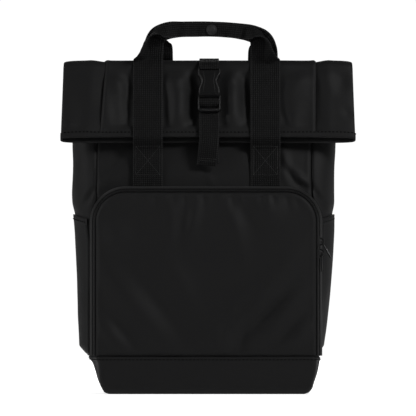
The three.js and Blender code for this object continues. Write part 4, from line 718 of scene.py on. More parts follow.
def pocket_rise(x, z):
    """How far the pocket's face stands out: a crown, and folds that fade out at its seams."""
    across = (x - POCKET_SHIFT) / (POCKET_WIDTH / 2)
    up = (z - BASE_HEIGHT) / (POCKET_TOP - BASE_HEIGHT)
    seam_fade, slack, seed = 7, 0.5, 23
    crown = POCKET_CROWN * np.maximum(0, 1 - across ** 4) * np.maximum(0, 1 - np.abs(2 * up - 1) ** 3)
    folds = creases(FACE_CREASES, x, z, "up") + slack * crumple(x, z, seed)
    return crown + folds * smooth(face_inside(x, z) / seam_fade)


straight = np.linspace(BODY_FOOT, FACE_TOP - POCKET_CORNER, 92)
turned = np.radians(np.linspace(0, 90, 38)[1:])
face_z = np.concatenate([straight, FACE_TOP - POCKET_CORNER * (1 - np.sin(turned))])[:, None]
face_drawn = np.concatenate([0 * straight, POCKET_CORNER * (1 - np.cos(turned))])[:, None]
face_even = np.linspace(-1, 1, 140)[None, :]
face_across = 0.35 * np.sin(face_even * np.pi / 2) + 0.65 * face_even
face_x = lerp(FACE_LEFT + face_drawn, FACE_RIGHT - face_drawn, (face_across + 1) / 2)


def face_point(x, z):
    """A point of the pocket's face, moved out by its rise and turned in at its seams."""
    return joined(x, FACE_Y - pocket_rise(x, z) - seam_dip(np.maximum(face_inside(x, z), 0)), z)


face_grid = face_point(face_x, face_z)
make_wall("pocket_face_cloth", face_grid, cloth, ["pocket_face"])


def pocket_outline(share, flare):
    """The pocket's outline from the front: up its left side, round both top corners and down its right
    side. Each of the five stretches takes a fifth of the way, and the right half mirrors the left one."""
    share = np.asarray(share, float)
    corner = POCKET_CORNER + flare
    left, right, top = FACE_LEFT - flare, FACE_RIGHT + flare, FACE_TOP + flare
    fifths = 5 * np.minimum(share, 1 - share)
    turned = np.pi / 2 * np.clip(fifths - 1, 0, 1)
    beside = corner * (1 - np.cos(turned))
    level = lerp(left + corner, right - corner, np.clip(5 * share - 2, 0, 1))
    x = np.where(fifths >= 2, level, np.where(share < 0.5, left + beside, right - beside))
    z = np.where(fifths < 1, lerp(BODY_FOOT, top - corner, fifths), top - corner * (1 - np.sin(turned)))
    return x, z


def gusset_point(share, deep, out=0.0):
    """A point of the pocket's gusset, from its face (deep 0) to the panel behind it (deep 1), moved out."""
    x, z = pocket_outline(share, POCKET_FLARE * deep + out)
    behind_x, behind_z = pocket_outline(share, POCKET_FLARE)
    y = lerp(FACE_Y + WALL + 2 * SEAM_GAP, panel_y(FRONT, behind_x, behind_z) - 2 * SEAM_GAP, deep)
    return joined(x, y, z)


ZIP_FRONT = 0.27
ZIP_BACK = 0.52
gusset_share = steps_between([0, 0.2, 0.4, 0.6, 0.8, 1], [60, 40, 70, 40, 60])[:, None]


def webbing_finish(name, half, dark, light, rib=0.0027, roughness=0.62, specular=0.12):
    """Flat woven webbing: ribs along it crossed by weft, uneven in tone, with a lighter selvage."""
    material, tree, shader = new_finish(name, roughness, specular, sheen=0.03)
    (ribs, weft), axes = thread_waves(tree, rib, 0.95 * rib)
    grid = maths(tree, "MULTIPLY", maths(tree, "ADD", ribs, 1.0), maths(tree, "ADD", weft, 1.6))
    grain, patchy = noise(tree, 900, 2), noise(tree, 90, 2)
    edge = maths(tree, "SUBTRACT", maths(tree, "ABSOLUTE", axes[0]), half - 0.0016)
    selvage = maths(tree, "MULTIPLY", maths(tree, "GREATER_THAN", edge, 0.0), maths(tree, "ADD", weft, 1.2))
    relief(tree, shader, maths(tree, "ADD", maths(tree, "MULTIPLY", grid, 0.25), grain), 0.8, 0.0005)
    shade = maths(tree, "ADD", maths(tree, "MULTIPLY", grid, 0.16), maths(tree, "MULTIPLY", selvage, 0.45))
    for factor in (grain, patchy):
        shade = maths(tree, "MULTIPLY", shade, maths(tree, "ADD", factor, 0.5))
    tree.links.new(tint(tree, shade, dark, light), shader.inputs["Base Color"])
    return material


NO_SELVAGE = 0.1
pocket_tape = webbing_finish("ribbed_tape", 0.0053, (0.003, 0.003, 0.0033), (0.010, 0.010, 0.0105),
                             0.0016, 0.6, 0.15)
zip_tape = webbing_finish("zip_tape", NO_SELVAGE, (0.004, 0.004, 0.0045), (0.008, 0.008, 0.0085), 0.0012)


def gusset_band(name, start, end, out, finish, nodes, columns=14):
    """One band of the gusset, from start to end of its depth, as a wall whose outside swells by out."""
    deep = np.linspace(start, end, columns)[None, :]
    swelling = out * np.sin(np.pi * (deep - start) / (end - start)) ** 0.6
    make_wall(name, gusset_point(gusset_share, deep, swelling), finish, nodes)


BAND_PROUD, TAPE_SUNK, TAPE_GAP = 0.9, 1.4, 0.01
gusset_band("pocket_edge_tape", 0.0, ZIP_FRONT, BAND_PROUD, pocket_tape, ["pocket_gusset_front"])
gusset_band("zip_tape_band", ZIP_FRONT + TAPE_GAP, ZIP_BACK - TAPE_GAP, -TAPE_SUNK, zip_tape,
            ["pocket_zip_tape"])
gusset_band("pocket_gusset_cloth", ZIP_BACK, 1.0, BAND_PROUD, cloth, ["pocket_gusset_back"], 20)

# Zip coil: a moulded nylon coil that lies down the middle of the tape, as hundreds of small interlocked
# loops. Each one is drawn as a slanted rod with narrowed ends.
COIL_PITCH = 1.6
LOOP_HALF = 2.6
LOOP_RADIUS = 0.6
LOOP_SLANT = 0.35
COIL_SUNK = 0.9


def path_frames(path):
    """Steps along a path: its unit directions and its running length."""
    run = np.concatenate([[0], np.cumsum(np.linalg.norm(np.diff(path, axis=0), axis=1))])
    return unit(np.gradient(path, axis=0)), run


def resample(path, pitch, *others):
    """Points at an even pitch along a path, and the same steps of other arrays that belong to it."""
    _, run = path_frames(path)
    at = np.arange(pitch / 2, run[-1], pitch)

    def take(values):
        """Values between those of the path's points, by straight lines."""
        return joined(*[np.interp(at, run, part) for part in values.T])
    return [take(values) for values in (path, *others)]


def rods(centre, way, half, radius):
    """Rods with narrowed ends, one for each centre: four rings of six points, and two faces on each end."""
    rings, sides = 4, 6
    helper = np.where(np.abs(way[:, 2:]) < 0.9, np.array([[0, 0, 1.0]]), np.array([[1.0, 0, 0]]))
    beside = unit(np.cross(way, helper))
    other = np.cross(way, beside)
    along = np.array([-1.0, -0.8, 0.8, 1.0]) * half
    wide = np.array([0.45, 1.0, 1.0, 0.45]) * radius
    turn = np.arange(sides) * 2 * np.pi / sides
    ring = np.cos(turn)[:, None] * beside[:, None, None, :] + np.sin(turn)[:, None] * other[:, None, None, :]
    points = centre[:, None, None] + along[:, None, None] * way[:, None, None] + wide[:, None, None] * ring
    cap = np.array([[0, 1, 2, 3], [0, 3, 4, 5]])
    one = np.concatenate([tube_faces(rings, sides, False), cap[:, ::-1], cap + (rings - 1) * sides])
    faces = one[None] + (np.arange(len(centre)) * rings * sides)[:, None, None]
    return points.reshape(-1, 3), faces.reshape(-1, 4)


coil_black = webbing_finish("coil_nylon", NO_SELVAGE, (0.006, 0.006, 0.0065), (0.012, 0.012, 0.0125),
                            0.001, 0.4)
coil_share = np.linspace(0.004, 0.996, 1500)
coil_deep = (ZIP_FRONT + ZIP_BACK) / 2
coil_middle = gusset_point(coil_share, coil_deep, -COIL_SUNK)
coil_out = unit(gusset_point(coil_share, coil_deep, 1.0) - coil_middle)
coil_way, _ = path_frames(coil_middle)
coil_centre, coil_along, coil_up = resample(coil_middle, COIL_PITCH, coil_way, coil_out)
loop_way = unit(np.cross(coil_along, coil_up) + LOOP_SLANT * coil_along)
coil_points, coil_faces = rods(coil_centre, loop_way, LOOP_HALF, LOOP_RADIUS)
make_piece("zip_coil", coil_points, coil_faces, coil_points[:, :2] * MM, coil_black)

# Slip pockets: one on each side, a patch of the same cloth sewn down at its foot and both edges. Its top is
# turned over as a hem 8 mm deep, bows up in its middle and stands a little open.
SIDE_POCKET_FOOT = 50
SIDE_HEM = 8
SIDE_HEM_PROUD = 0.1
HEM_BOW = 5
HEM_BOW_FROM = 150
SIDE_POCKET_ANGLE = 67.5


def side_pocket_point(side, z, angle, out=0.0):
    """A point of a slip pocket: on the side panel at its edges and foot, standing off it in the middle,
    with its hem bowed up between its ends."""
    bow = np.cos(np.radians(angle)) ** 2 - 0.6
    z = z + HEM_BOW * bow * smooth((z - HEM_BOW_FROM) / (SIDE_POCKET_TOP - HEM_BOW_FROM))
    t = (z - BODY_FOOT) / (FOLD_Z - BODY_FOOT)
    seam, edge, _ = spread(side, t)
    opened = (1 - (angle / SIDE_POCKET_ANGLE) ** 4) * smooth((z - SIDE_POCKET_FOOT) / (1.5 * SIDE_HEM))
    turn = np.radians(angle)
    outward = unit(joined(side * np.cos(turn) * BODY_DEPTH / 2, np.sin(turn) * (edge - seam), 0.0))
    on_skin = side_point(side, t, angle) + outward * (2 * SEAM_GAP + WALL)
    standing = side_point(side, t, angle, 0.0, 0.0)
    return lerp(on_skin, standing, opened[..., None]) + outward * np.asarray(out + 0 * opened)[..., None]


pocket_angle = np.linspace(-SIDE_POCKET_ANGLE, SIDE_POCKET_ANGLE, 60)[None, :]
MM_PER_DEGREE = 0.8
edge_across = (SIDE_POCKET_ANGLE - np.abs(pocket_angle)) * MM_PER_DEGREE
pocket_z = steps_between([SIDE_POCKET_FOOT, 68, SIDE_POCKET_TOP - SIDE_HEM - 0.05], [22, 70])[:, None]
edge_far = np.minimum(pocket_z - SIDE_POCKET_FOOT, edge_across)


def pocket_slack(side, z, from_edge):
    """Slack of a slip pocket, which fades out within 20 mm of its sewn edges."""
    height, fade = 1.3, 20
    return height * crumple(pocket_angle * MM_PER_DEGREE, z, 41 + side) * smooth(from_edge / fade)


for name, side in (("left", -1), ("right", 1)):
    out = 0.8 * seam_dip(edge_far) + pocket_slack(side, pocket_z, edge_far)
    patch = side_pocket_point(side, pocket_z, pocket_angle, out)[:, ::side]
    make_wall("slip_pocket_cloth_" + name, patch, cloth, ["side_pocket_" + name])
    hem_z, hem_out = rounded_box(SIDE_POCKET_TOP - SIDE_HEM, SIDE_POCKET_TOP, -WALL, SIDE_HEM_PROUD, 0.35)
    hem_slack = pocket_slack(side, hem_z[:, None], edge_across)
    hem = side_pocket_point(side, hem_z[:, None], pocket_angle, hem_out[:, None] + hem_slack).swapaxes(0, 1)
    make_tube("slip_pocket_hem_cloth_" + name, hem, cloth, ["side_pocket_hem_" + name])

# Handles: two loops of 38 mm webbing, one sewn to the front panel and carried round the mouth and up over the
# flap, the other sewn to the back. Each is folded in half where the hand holds it, and a snap joins the two.
WEB_THICK = 1.8
HANDLE_WEB = 38
HANDLE_SPAN = 149
HANDLE_SHIFT = -1.7
HANDLE_RISE = 49
REAR_LEG_SPAN = 133.3
REAR_LEG_SHIFT = 3.1
FOLD_RADIUS = 1.6
STITCH_LENGTH = 43
PAD_TOP = 352
WEB_LIFT = WEB_THICK / 2 + SEAM_GAP
STUD_SHIFT = 4.5
FRONT_HANDLE = {
    "across": [-1, -0.998, -0.99, -0.98, -0.95, -0.87, -0.73, -0.53, -0.2, 0.06,
               0.3, 0.56, 0.76, 0.91, 0.98, 1, 1, 1, 1],
    "up": [0, 0.13, 0.3, 0.47, 0.66, 0.82, 0.91, 0.975, 0.995, 1,
           0.985, 0.94, 0.87, 0.76, 0.61, 0.45, 0.28, 0.13, 0],
    "turn": [0, 0, 2, 6, 20, 45, 68, 82, 89, 90, 92, 97, 110, 136, 160, 174, 178, 180, 180],
    "fold": [12, 48, 64, 74, 95, 125, 155, 172, 180, 180, 180, 172, 155, 125, 95, 74, 62, 45, 10],
}
REAR_HANDLE = {
    "across": [-1, -1, -0.98, -0.93, -0.8, -0.5, 0, 0.5, 0.8, 0.93, 0.98, 1, 1],
    "up": [0, 0.24, 0.4, 0.53, 0.605, 0.62, 0.62, 0.58, 0.52, 0.44, 0.32, 0.18, 0],
    "turn": [180, 180, 186, 210, 242, 264, 270, 278, 300, 330, 354, 360, 360],
    "fold": [0, 8, 45, 95, 140, 172, 180, 172, 140, 95, 45, 8, 0],
}


def over_flap(along, out):
    """Depth and height of a point over the flap, at a share of its length and a distance out from it."""
    y, z = layer_point(BACK, 2.0 + along)
    return float(y + out * FLAP_OUT[1]), float(z + out * FLAP_OUT[2])


def binding_face(down, off=0.0):
    """Depth and height of webbing that lies on the mouth's binding, that far down from the cloth's end."""
    hem = np.array([0, *layer_point(BACK, 3.0)])
    _, y, z = hem + (BINDING_PROUD + WEB_LIFT + off) * FLAP_OUT + down * FLAP_WAY
    return float(y), float(z)


def round_fold(angle, lift):
    """Depth and height of webbing that lies over the fold, at an angle about its centre."""
    radius = FOLD_OUTER + WEB_LIFT + lift
    return FOLD_Y + radius * np.cos(angle), FOLD_Z + radius * np.sin(angle)


def folded_section(s, lift, angle):
    """The webbing's section: flat to one side of a bend of that angle, and folded over to the other side."""
    half = FOLD_RADIUS * angle / 2
    bend = np.clip((half - s) / FOLD_RADIUS, 0, angle)
    past = np.maximum(0, -s - half)
    along = np.maximum(s, half) - FOLD_RADIUS * np.sin(bend) - past * np.cos(angle)
    out = FOLD_RADIUS * (1 - np.cos(bend)) + past * np.sin(angle)
    return along - lift * np.sin(bend), out - lift * np.cos(bend)


def curve_points(run, points, at):
    """Points on the smooth line through a path's points, at distances along it."""
    return np.stack([curve(run, points[:, k], at) for k in range(3)], -1)


def handle_stations(table, span, shift, leg, grip_y):
    """Middle line, turn and fold of a handle at even steps: up one leg, over the grip, down the other."""
    x = shift + np.array(table["across"]) * span / 2
    z = ROLL_TOP + np.array(table["up"]) * HANDLE_RISE
    y = lerp(leg[-1][0], grip_y, smooth(np.minimum(1, (z - ROLL_TOP) / (HANDLE_RISE * 0.55))))
    legs = np.array(leg[:-1])
    first = np.column_stack([np.full(len(legs), x[0]), legs])
    last = np.column_stack([np.full(len(legs), x[-1]), legs])[::-1]
    points = np.concatenate([first, np.column_stack([x, y, z]), last])
    turn = np.pad(table["turn"], len(legs), "edge")
    fold = np.pad(table["fold"], len(legs))
    _, run = path_frames(points)
    at = np.linspace(0, run[-1], 320)
    least_fold = 1.0
    return (curve_points(run, points, at), np.radians(curve(run, turn, at)),
            np.radians(np.maximum(curve(run, fold, at), least_fold)), at)


def handle_grid(table, span, shift, leg, grip_y, facing):
    """A function that gives points of a handle at s across its webbing and lift out of it, and the handle's
    running length. The webbing lies in the frame of its middle line, folded and wrinkled at the grip."""
    middle, turn, fold, run = handle_stations(table, span, shift, leg, grip_y)
    way, _ = path_frames(middle)
    level = np.stack([np.cos(turn), 0 * turn, -np.sin(turn)], -1)
    across = unit(level - way * np.sum(level * way, 1, keepdims=True))
    face = np.cross(way, across)
    face = unit(np.where(face[:, 1:2] * facing < 0, -face, face))

    def point(s, lift):
        """A point of the handle: its middle line, plus a across it and b out of its face."""
        a, b = folded_section(s, lift, fold[:, None])
        height, shorter, finer, seed = 13, 2.4, 1.5, 51
        wrinkles = height * crumple(shorter * run[:, None], finer * np.abs(s), seed)
        folded_over = smooth((fold[:, None] - 1.2) / 0.8)
        off_snap = smooth((np.abs(middle[:, :1] - STUD_SHIFT) - 6) / 12)
        b = b + wrinkles * folded_over * off_snap
        return middle[:, None] + across[:, None] * a[..., None] + face[:, None] * b[..., None]
    return point, run


def web_section(half, thick, columns):
    """Points round the section of webbing with rounded edges: across it, and out of its middle surface."""
    rounding, shoulder, shoulder_high = 0.5, 0.15, 0.36
    flat = np.linspace(-half + rounding, half - rounding, columns)
    edge = half - np.array([shoulder, 0, shoulder])
    high = np.array([shoulder_high, 0, -shoulder_high]) * thick
    face = np.full(columns, thick / 2)
    return np.concatenate([flat, edge, -flat, -edge]), np.concatenate([face, high, -face, -high])


wide_webbing = webbing_finish("handle_webbing", HANDLE_WEB / 2 * MM, (0.0001, 0.0001, 0.0002),
                              (0.022, 0.022, 0.0225))
GRIP_THICK = 2 * FOLD_RADIUS + WEB_THICK
FRONT_GRIP_Y = FOLD_Y - FOLD_OUTER / 2 - GRIP_THICK / 2
REAR_GRIP_Y = FRONT_GRIP_Y + WEB_THICK + 2 * SEAM_GAP
front_foot = POCKET_TOP - POCKET_LOWER + SEAM_GAP
sewn_x = HANDLE_SPAN / 2 - HANDLE_WEB / 2
BINDING_END = BINDING_START + BINDING_LENGTH


def sewn_to(layer, x, z, off=0.0):
    """Depth and height of webbing that is sewn to the front or back panel, or stands off it there."""
    return float(panel_y(layer, x, z)) + layer["out"] * (WEB_LIFT + SEAM_GAP + off), z


# The front handle's legs on the front panel: heights, and how far the webbing is eased off the cloth there
EASED_OFF = [(front_foot, 0.0), (283, 0.3), (297, 2.2), (309, 5.0)]
BINDING_EASE, FLAP_EASE = 0.3, 0.8
front_leg = [*[sewn_to(FRONT, sewn_x, z, off) for z, off in EASED_OFF],
             binding_face(BINDING_END, SEAM_GAP + BINDING_EASE), binding_face(0, SEAM_GAP),
             over_flap(0.7, WEB_LIFT + SEAM_GAP), over_flap(0.35, WEB_LIFT + SEAM_GAP + FLAP_EASE),
             over_flap(0, WEB_LIFT + SEAM_GAP), round_fold(FLAP_TURN - np.radians(25), SEAM_GAP),
             (FRONT_GRIP_Y, ROLL_TOP)]
rear_sewn_x = REAR_LEG_SPAN / 2 - HANDLE_WEB / 2
rear_foot = PAD_TOP + 2 * SEAM_GAP
rear_leg = [*[sewn_to(BACK, rear_sewn_x, rear_foot + STITCH_LENGTH * share) for share in (0, 0.5, 1)],
            round_fold(BACK["start"], SEAM_GAP),
            round_fold(BACK["start"] + np.radians(25), SEAM_GAP), (FOLD_Y + 0.6 * FOLD_OUTER, ROLL_TOP)]
handle_points = {}
for name, table, span, shift, leg, grip_y, facing in (
        ("front_handle", FRONT_HANDLE, HANDLE_SPAN, HANDLE_SHIFT, front_leg, FRONT_GRIP_Y, -1),
        ("rear_handle", REAR_HANDLE, REAR_LEG_SPAN, REAR_LEG_SHIFT, rear_leg, REAR_GRIP_Y, 1)):
    point, run = handle_grid(table, span, shift, leg, grip_y, facing)
    handle_points[name] = point
    s, lift = web_section(HANDLE_WEB / 2, WEB_THICK, 24)
    grid = point(s[None, :], lift[None, :])
    flat = joined(s[None, :] * MM, run[:, None] * MM)
    make_tube(name + "_webbing", grid, wide_webbing, [name], uv=flat, sharp=60)

# Snap: a pressed metal cap on the front handle's grip and its socket on the rear handle, black lacquered. It
# is riveted through the folded webbing, and holds the two grips together.
grip_middle = ROLL_TOP + HANDLE_RISE - HANDLE_WEB / 4 - FOLD_RADIUS / 2
front_face = FRONT_GRIP_Y - 2 * FOLD_RADIUS - WEB_THICK / 2
rear_back = REAR_GRIP_Y + 2 * FOLD_RADIUS + WEB_THICK / 2


def metal_finish(name, dark, light, roughness):
    """Lacquered metal: smooth, with a faint orange peel and small rubbed spots that are lighter."""
    material, tree, shader = new_finish(name, roughness, 0.45, metallic=0.2)
    worn = maths(tree, "SMOOTH_MAX", maths(tree, "MULTIPLY_ADD", noise(tree, 160, 5), 4.0), 0.0)
    tree.links.new(tint(tree, maths(tree, "SUBTRACT", worn, 2.2), dark, light), shader.inputs["Base Color"])
    relief(tree, shader, noise(tree, 700, 3), 0.25, 0.0001)
    return material


snap_metal = metal_finish("snap_metal", (0.016, 0.016, 0.0165), (0.024, 0.024, 0.0245), 0.65)
black_metal = metal_finish("lacquered_metal", (0.003, 0.003, 0.0033), (0.010, 0.010, 0.0104), 0.46)


# Profiles of the snap's two parts: radii, and how far each stands out of the webbing
SNAP_CAP = {"radius": [6.3, 6.75, 6.8, 6.6, 5.9, 5.4, 5.0, 4.6, 3.6, 2.2, 0.8],
            "out": [0, 0.25, 0.7, 1.15, 1.3, 1.1, 0.95, 1.35, 1.75, 1.95, 2.0]}
SNAP_SOCKET = {"radius": [4.3, 4.75, 4.8, 4.5, 3.6, 3.2, 2.4, 2.2, 0.8],
               "out": [0, 0.3, 1.0, 1.6, 2.0, 1.9, 1.0, 0.9, 0.9]}


def turned_piece(name, profile, foot, facing, node):
    """A piece turned about a line along Y through the snap's middle, from its profile, on the webbing."""
    turn = np.linspace(0, 2 * np.pi, 48, endpoint=False)[None, :]
    radii, out = np.array(profile["radius"])[:, None], np.array(profile["out"])[:, None]
    grid = joined(STUD_SHIFT + radii * np.cos(turn), foot + facing * out, grip_middle + radii * np.sin(turn))
    make_tube(name, grid, snap_metal, [node], sharp=35)


turned_piece("snap_cap", SNAP_CAP, front_face - SEAM_GAP, -1, "stud_cap")
turned_piece("snap_socket", SNAP_SOCKET, rear_back + SEAM_GAP, 1, "stud_socket")

# Closure strap: 25 mm webbing. Its upper part is sewn to the back, comes over the roll and round the buckle's
# bar. Its lower part is sewn to the front, goes through the clip and hangs down as a tail with a sewn end.
STRAP_WEB = 25
BUCKLE_SHIFT = 1.5
SOCKET_LENGTH = 40
CLIP_LENGTH = 22
BUCKLE_BELOW_TOP = 3
PLASTIC = 2.2
BUCKLE_REST = 1.6
TAIL_HANG = 36.5
TAIL_SWING = 3.2
BAR_DEPTH = 3
FIRST_PASS = -0.3
SECOND_PASS = 1.9
MIDDLE_BAR = (-6.5, 3.5)
TOP_BAR = (38.5, 4.25)
buckle_y, buckle_z = over_flap((BUCKLE_BELOW_TOP + SOCKET_LENGTH) / FLAP_LENGTH, BUCKLE_REST + SEAM_GAP)


def in_buckle(up, out):
    """Depth and height of a point given up along the buckle and out of its back."""
    return buckle_y - up * FLAP_WAY[1] + out * FLAP_OUT[1], buckle_z - up * FLAP_WAY[2] + out * FLAP_OUT[2]


def round_bar(bar, reach, angle):
    """A point at that reach from a bar's middle, at an angle in degrees from the way up."""
    return bar[0] + reach * np.cos(np.radians(angle)), bar[1] + reach * np.sin(np.radians(angle))


def adjuster_path(bar, low, first, second):
    """The strap's way through a two-bar adjuster: up behind both bars, over the middle one and down again."""
    reach = PLASTIC / 2 * np.sqrt(2) + WEB_LIFT + SEAM_GAP / 2
    leave_down, meet_above, end_below = 5.5, 6, 2
    return [(low, first), ((bar[0] + low) / 2, first),
            *[round_bar(bar, reach, angle) for angle in (230, 310, 0, 50, 100)],
            (bar[0] - leave_down, bar[1] + PLASTIC / 2 + WEB_LIFT - SEAM_GAP), (low + meet_above, second),
            (low - end_below, second)]


def ribbon(name, path, across, node, steps=260):
    """Webbing along a path: a flat section that is carried along a smooth line through its points."""
    path, across = np.asarray(path, float), np.asarray(across, float) * np.ones((len(path), 3))
    _, run = path_frames(path)
    at = np.linspace(0, run[-1], steps)
    middle = curve_points(run, path, at)
    way, length = path_frames(middle)
    beside = joined(*[np.interp(at, run, part) for part in across.T])
    beside = unit(beside - way * np.sum(beside * way, 1, keepdims=True))
    face = np.cross(way, beside)
    s, lift = web_section(STRAP_WEB / 2, WEB_THICK, 14)
    grid = middle[:, None] + beside[:, None] * s[None, :, None] + face[:, None] * lift[None, :, None]
    flat = joined(s[None, :] * MM, length[:, None] * MM)
    make_tube(name, grid, strap_webbing, [node], uv=flat, sharp=60)
    return middle, beside, face, length


def over_roll(share, layers):
    """Depth and height of the strap over the roll, at a share of the way round and so many layers up."""
    return round_fold(lerp(BACK["start"], FLAP_TURN, share), SEAM_GAP + layers * (WEB_THICK + SEAM_GAP))


def at_middle(pairs):
    """Points of a path in the upright plane through the buckle, from depths and heights."""
    return [(BUCKLE_SHIFT, y, z) for y, z in pairs]


strap_webbing = webbing_finish("strap_webbing", STRAP_WEB / 2 * MM, (0.0001, 0.0001, 0.0002),
                               (0.020, 0.020, 0.0205), 0.0026)
bar_reach = BAR_DEPTH / 2 * np.sqrt(2) - SEAM_GAP + WEB_LIFT
upper_path = [sewn_to(BACK, 0, rear_foot), sewn_to(BACK, 0, rear_foot + STITCH_LENGTH * 0.6),
              *[over_roll(share, 0) for share in (0, 0.2, 0.4, 0.6)], over_roll(0.76, 0.25),
              *[in_buckle(*round_bar(TOP_BAR, bar_reach, angle)) for angle in (75, 130, 180, 230, 300)]]
ribbon("closure_webbing_upper", at_middle(upper_path), (1, 0, 0), "closure_strap_upper")
clip_low = -SEAM_GAP - CLIP_LENGTH
SEWN_BELOW_FLAP, SEAM_MARGIN, TAIL_BOW = 8, 4, 1.5
sewn_top = FLAP_FOOT - SEWN_BELOW_FLAP - INNER_DROP - SEAM_MARGIN
second_layer = SEAM_GAP + WEB_THICK + 2 * SEAM_GAP
hang = binding_face(BINDING_END + 2, second_layer)
through_clip = adjuster_path(MIDDLE_BAR, clip_low, FIRST_PASS, SECOND_PASS)
lower_path = [sewn_to(FRONT, 0, sewn_top - STITCH_LENGTH / 2), sewn_to(FRONT, 0, sewn_top - SEAM_MARGIN),
              binding_face(BINDING_END + INNER_DROP + 2 * WEB_THICK), binding_face(BINDING_END, SEAM_GAP),
              binding_face(0, SEAM_GAP), *[in_buckle(*pair) for pair in through_clip],
              binding_face(0, second_layer), hang]
loose_tail = [(BUCKLE_SHIFT - TAIL_SWING * share, hang[0] - TAIL_BOW * np.sin(np.pi * share),
               hang[1] - TAIL_HANG * share) for share in (0.5, 1)]
lower_path = [*at_middle(lower_path), *loose_tail]
tail = ribbon("closure_webbing_lower", lower_path, (1, 0, 0), "closure_strap_lower", 340)

# Buckle: moulded in two halves, a socket with side openings and a clip whose frame holds two bars. The
# shapes of the solids are right, so merged copies of them get rounded edges, and rims and ribs are added.


def plastic_finish(name, dark, light, roughness):
    """Moulded plastic: satin, with a fine spark-eroded grain and slight unevenness in gloss."""
    material, tree, shader = new_finish(name, roughness, 0.24)
    relief(tree, shader, noise(tree, 1800, 2), 0.3, 0.00008)
    cloud = noise(tree, 90, 3)
    tree.links.new(tint(tree, cloud, dark, light), shader.inputs["Base Color"])
    uneven_gloss(tree, shader, cloud, roughness - 0.06, roughness + 0.08)
    return material


black_plastic = plastic_finish("moulded_plastic", (0.0038, 0.0038, 0.0041), (0.0062, 0.0062, 0.0066), 0.42)


def rounded_copy(name, node, finish, width, body="bag"):
    """A merged copy of a solid of the frame, with its edges rounded to that width in millimetres."""
    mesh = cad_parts[node].data.copy()
    mesh.name = name
    shape = bmesh.new()
    shape.from_mesh(mesh)
    bmesh.ops.remove_doubles(shape, verts=shape.verts, dist=1e-6)
    bmesh.ops.dissolve_limit(shape, angle_limit=np.radians(2), verts=shape.verts, edges=shape.edges)
    shape.to_mesh(mesh)
    shape.free()
    mesh.materials.clear()
    mesh.materials.append(finish)
    piece = bpy.data.objects.new(name, mesh)
    bpy.context.scene.collection.objects.link(piece)
    bevel = piece.modifiers.new("rounded_edges", "BEVEL")
    bevel.width = width * MM
    bevel.segments = 3
    bevel.limit_method = "ANGLE"
    bevel.angle_limit = np.radians(28)
    bevel.use_clamp_overlap = True
    mesh.polygons.foreach_set("use_smooth", np.ones(len(mesh.polygons), bool))
    mesh.set_sharp_from_angle(angle=np.radians(35))
    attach(piece, body)
    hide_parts(node)
    return piece


# The buckle's raised rims, rails and lower bar get a lighter plastic than its shell: a painted highlight
# where their edges catch the light.
rim_highlight_plastic = plastic_finish("painted_highlight_plastic", (0.016, 0.016, 0.0165), (0.028, 0.028, 0.0285), 0.28)
rounded_copy("buckle_socket_shell", "buckle_socket", black_plastic, 0.5)
rounded_copy("buckle_clip_frame", "buckle_clip", black_plastic, 0.4)


# Ridges of the buckle in its own frame: beside its middle, up from where its halves meet, and out of its back
BUCKLE_RIM = {"beside": [12.6, 12.1, 9.6, 8.6, 10.2, 13.2, 13.0], "up": [1.5, 8, 16, 20, 25, 31, 37],
              "out": [8.3, 8.4, 8.5, 8.5, 8.5, 8.3, 8.2]}
PANEL_EDGE = {"beside": [7.4, 7.0, 6.0, 5.6, 6.6, 7.6], "up": [2.5, 10, 16, 21, 27, 33],
              "out": [8.35, 8.45, 8.45, 8.45, 8.4, 8.3]}
CLIP_RAIL = {"beside": [13.4, 13.4, 13.2], "up": [-1.6, -10, -20.4], "out": [7.5, 7.6, 7.4]}
SOCKET_LIP = {"beside": [-9.5, 0, 9.5], "up": [1.0, 0.9, 1.0], "out": [8.3, 8.5, 8.3]}
CLIP_LOWER_BAR = {"beside": [-10.6, 0, 10.6], "up": [-20.2, -21.2, -20.2], "out": [7.3, 7.8, 7.3]}


def raised_bar(name, ridge, side, radius, finish):
    """A smooth round-ended ridge along a line of points in the buckle's frame, half sunk into the shell."""
    line = joined(side * np.array(ridge["beside"]), ridge["up"], ridge["out"])
    _, run = path_frames(line)
    at = np.linspace(0, run[-1], 60)
    beside, up, out = curve_points(run, line, at).T
    middle = joined(beside + BUCKLE_SHIFT, *in_buckle(up, out))
    way, _ = path_frames(middle)
    level = unit(np.cross(way, -FLAP_OUT))
    wide = radius * np.sqrt(np.clip(1 - np.abs(np.linspace(-1, 1, 60)) ** 10, 0.02, 1))[:, None, None]
    turn = np.linspace(0, 2 * np.pi, 12, endpoint=False)[None, :, None]
    grid = middle[:, None] + wide * (level[:, None] * np.cos(turn) - FLAP_OUT * np.sin(turn))
    make_tube(name, grid, finish)


for name, side in (("left", -1), ("right", 1)):
    raised_bar("buckle_rim_" + name, BUCKLE_RIM, side, 0.75, rim_highlight_plastic)
    raised_bar("buckle_panel_edge_" + name, PANEL_EDGE, side, 0.5, black_plastic)
    raised_bar("clip_rail_" + name, CLIP_RAIL, side, 0.7, rim_highlight_plastic)
raised_bar("socket_lip", SOCKET_LIP, 1, 0.6, black_plastic)
raised_bar("clip_lower_bar", CLIP_LOWER_BAR, 1, 0.95, rim_highlight_plastic)

# Zip sliders and pullers: cast metal, black lacquered. The two sliders meet on the pocket's right side, and
# each puller swings about a cross bar under its slider's bridge.
for name in ("upper", "lower"):
    rounded_copy("cast_slider_" + name, "zip_slider_" + name, black_metal, 0.3)
    rounded_copy("cast_puller_" + name, "zip_puller_" + name, black_metal, 0.25, name + "_puller")

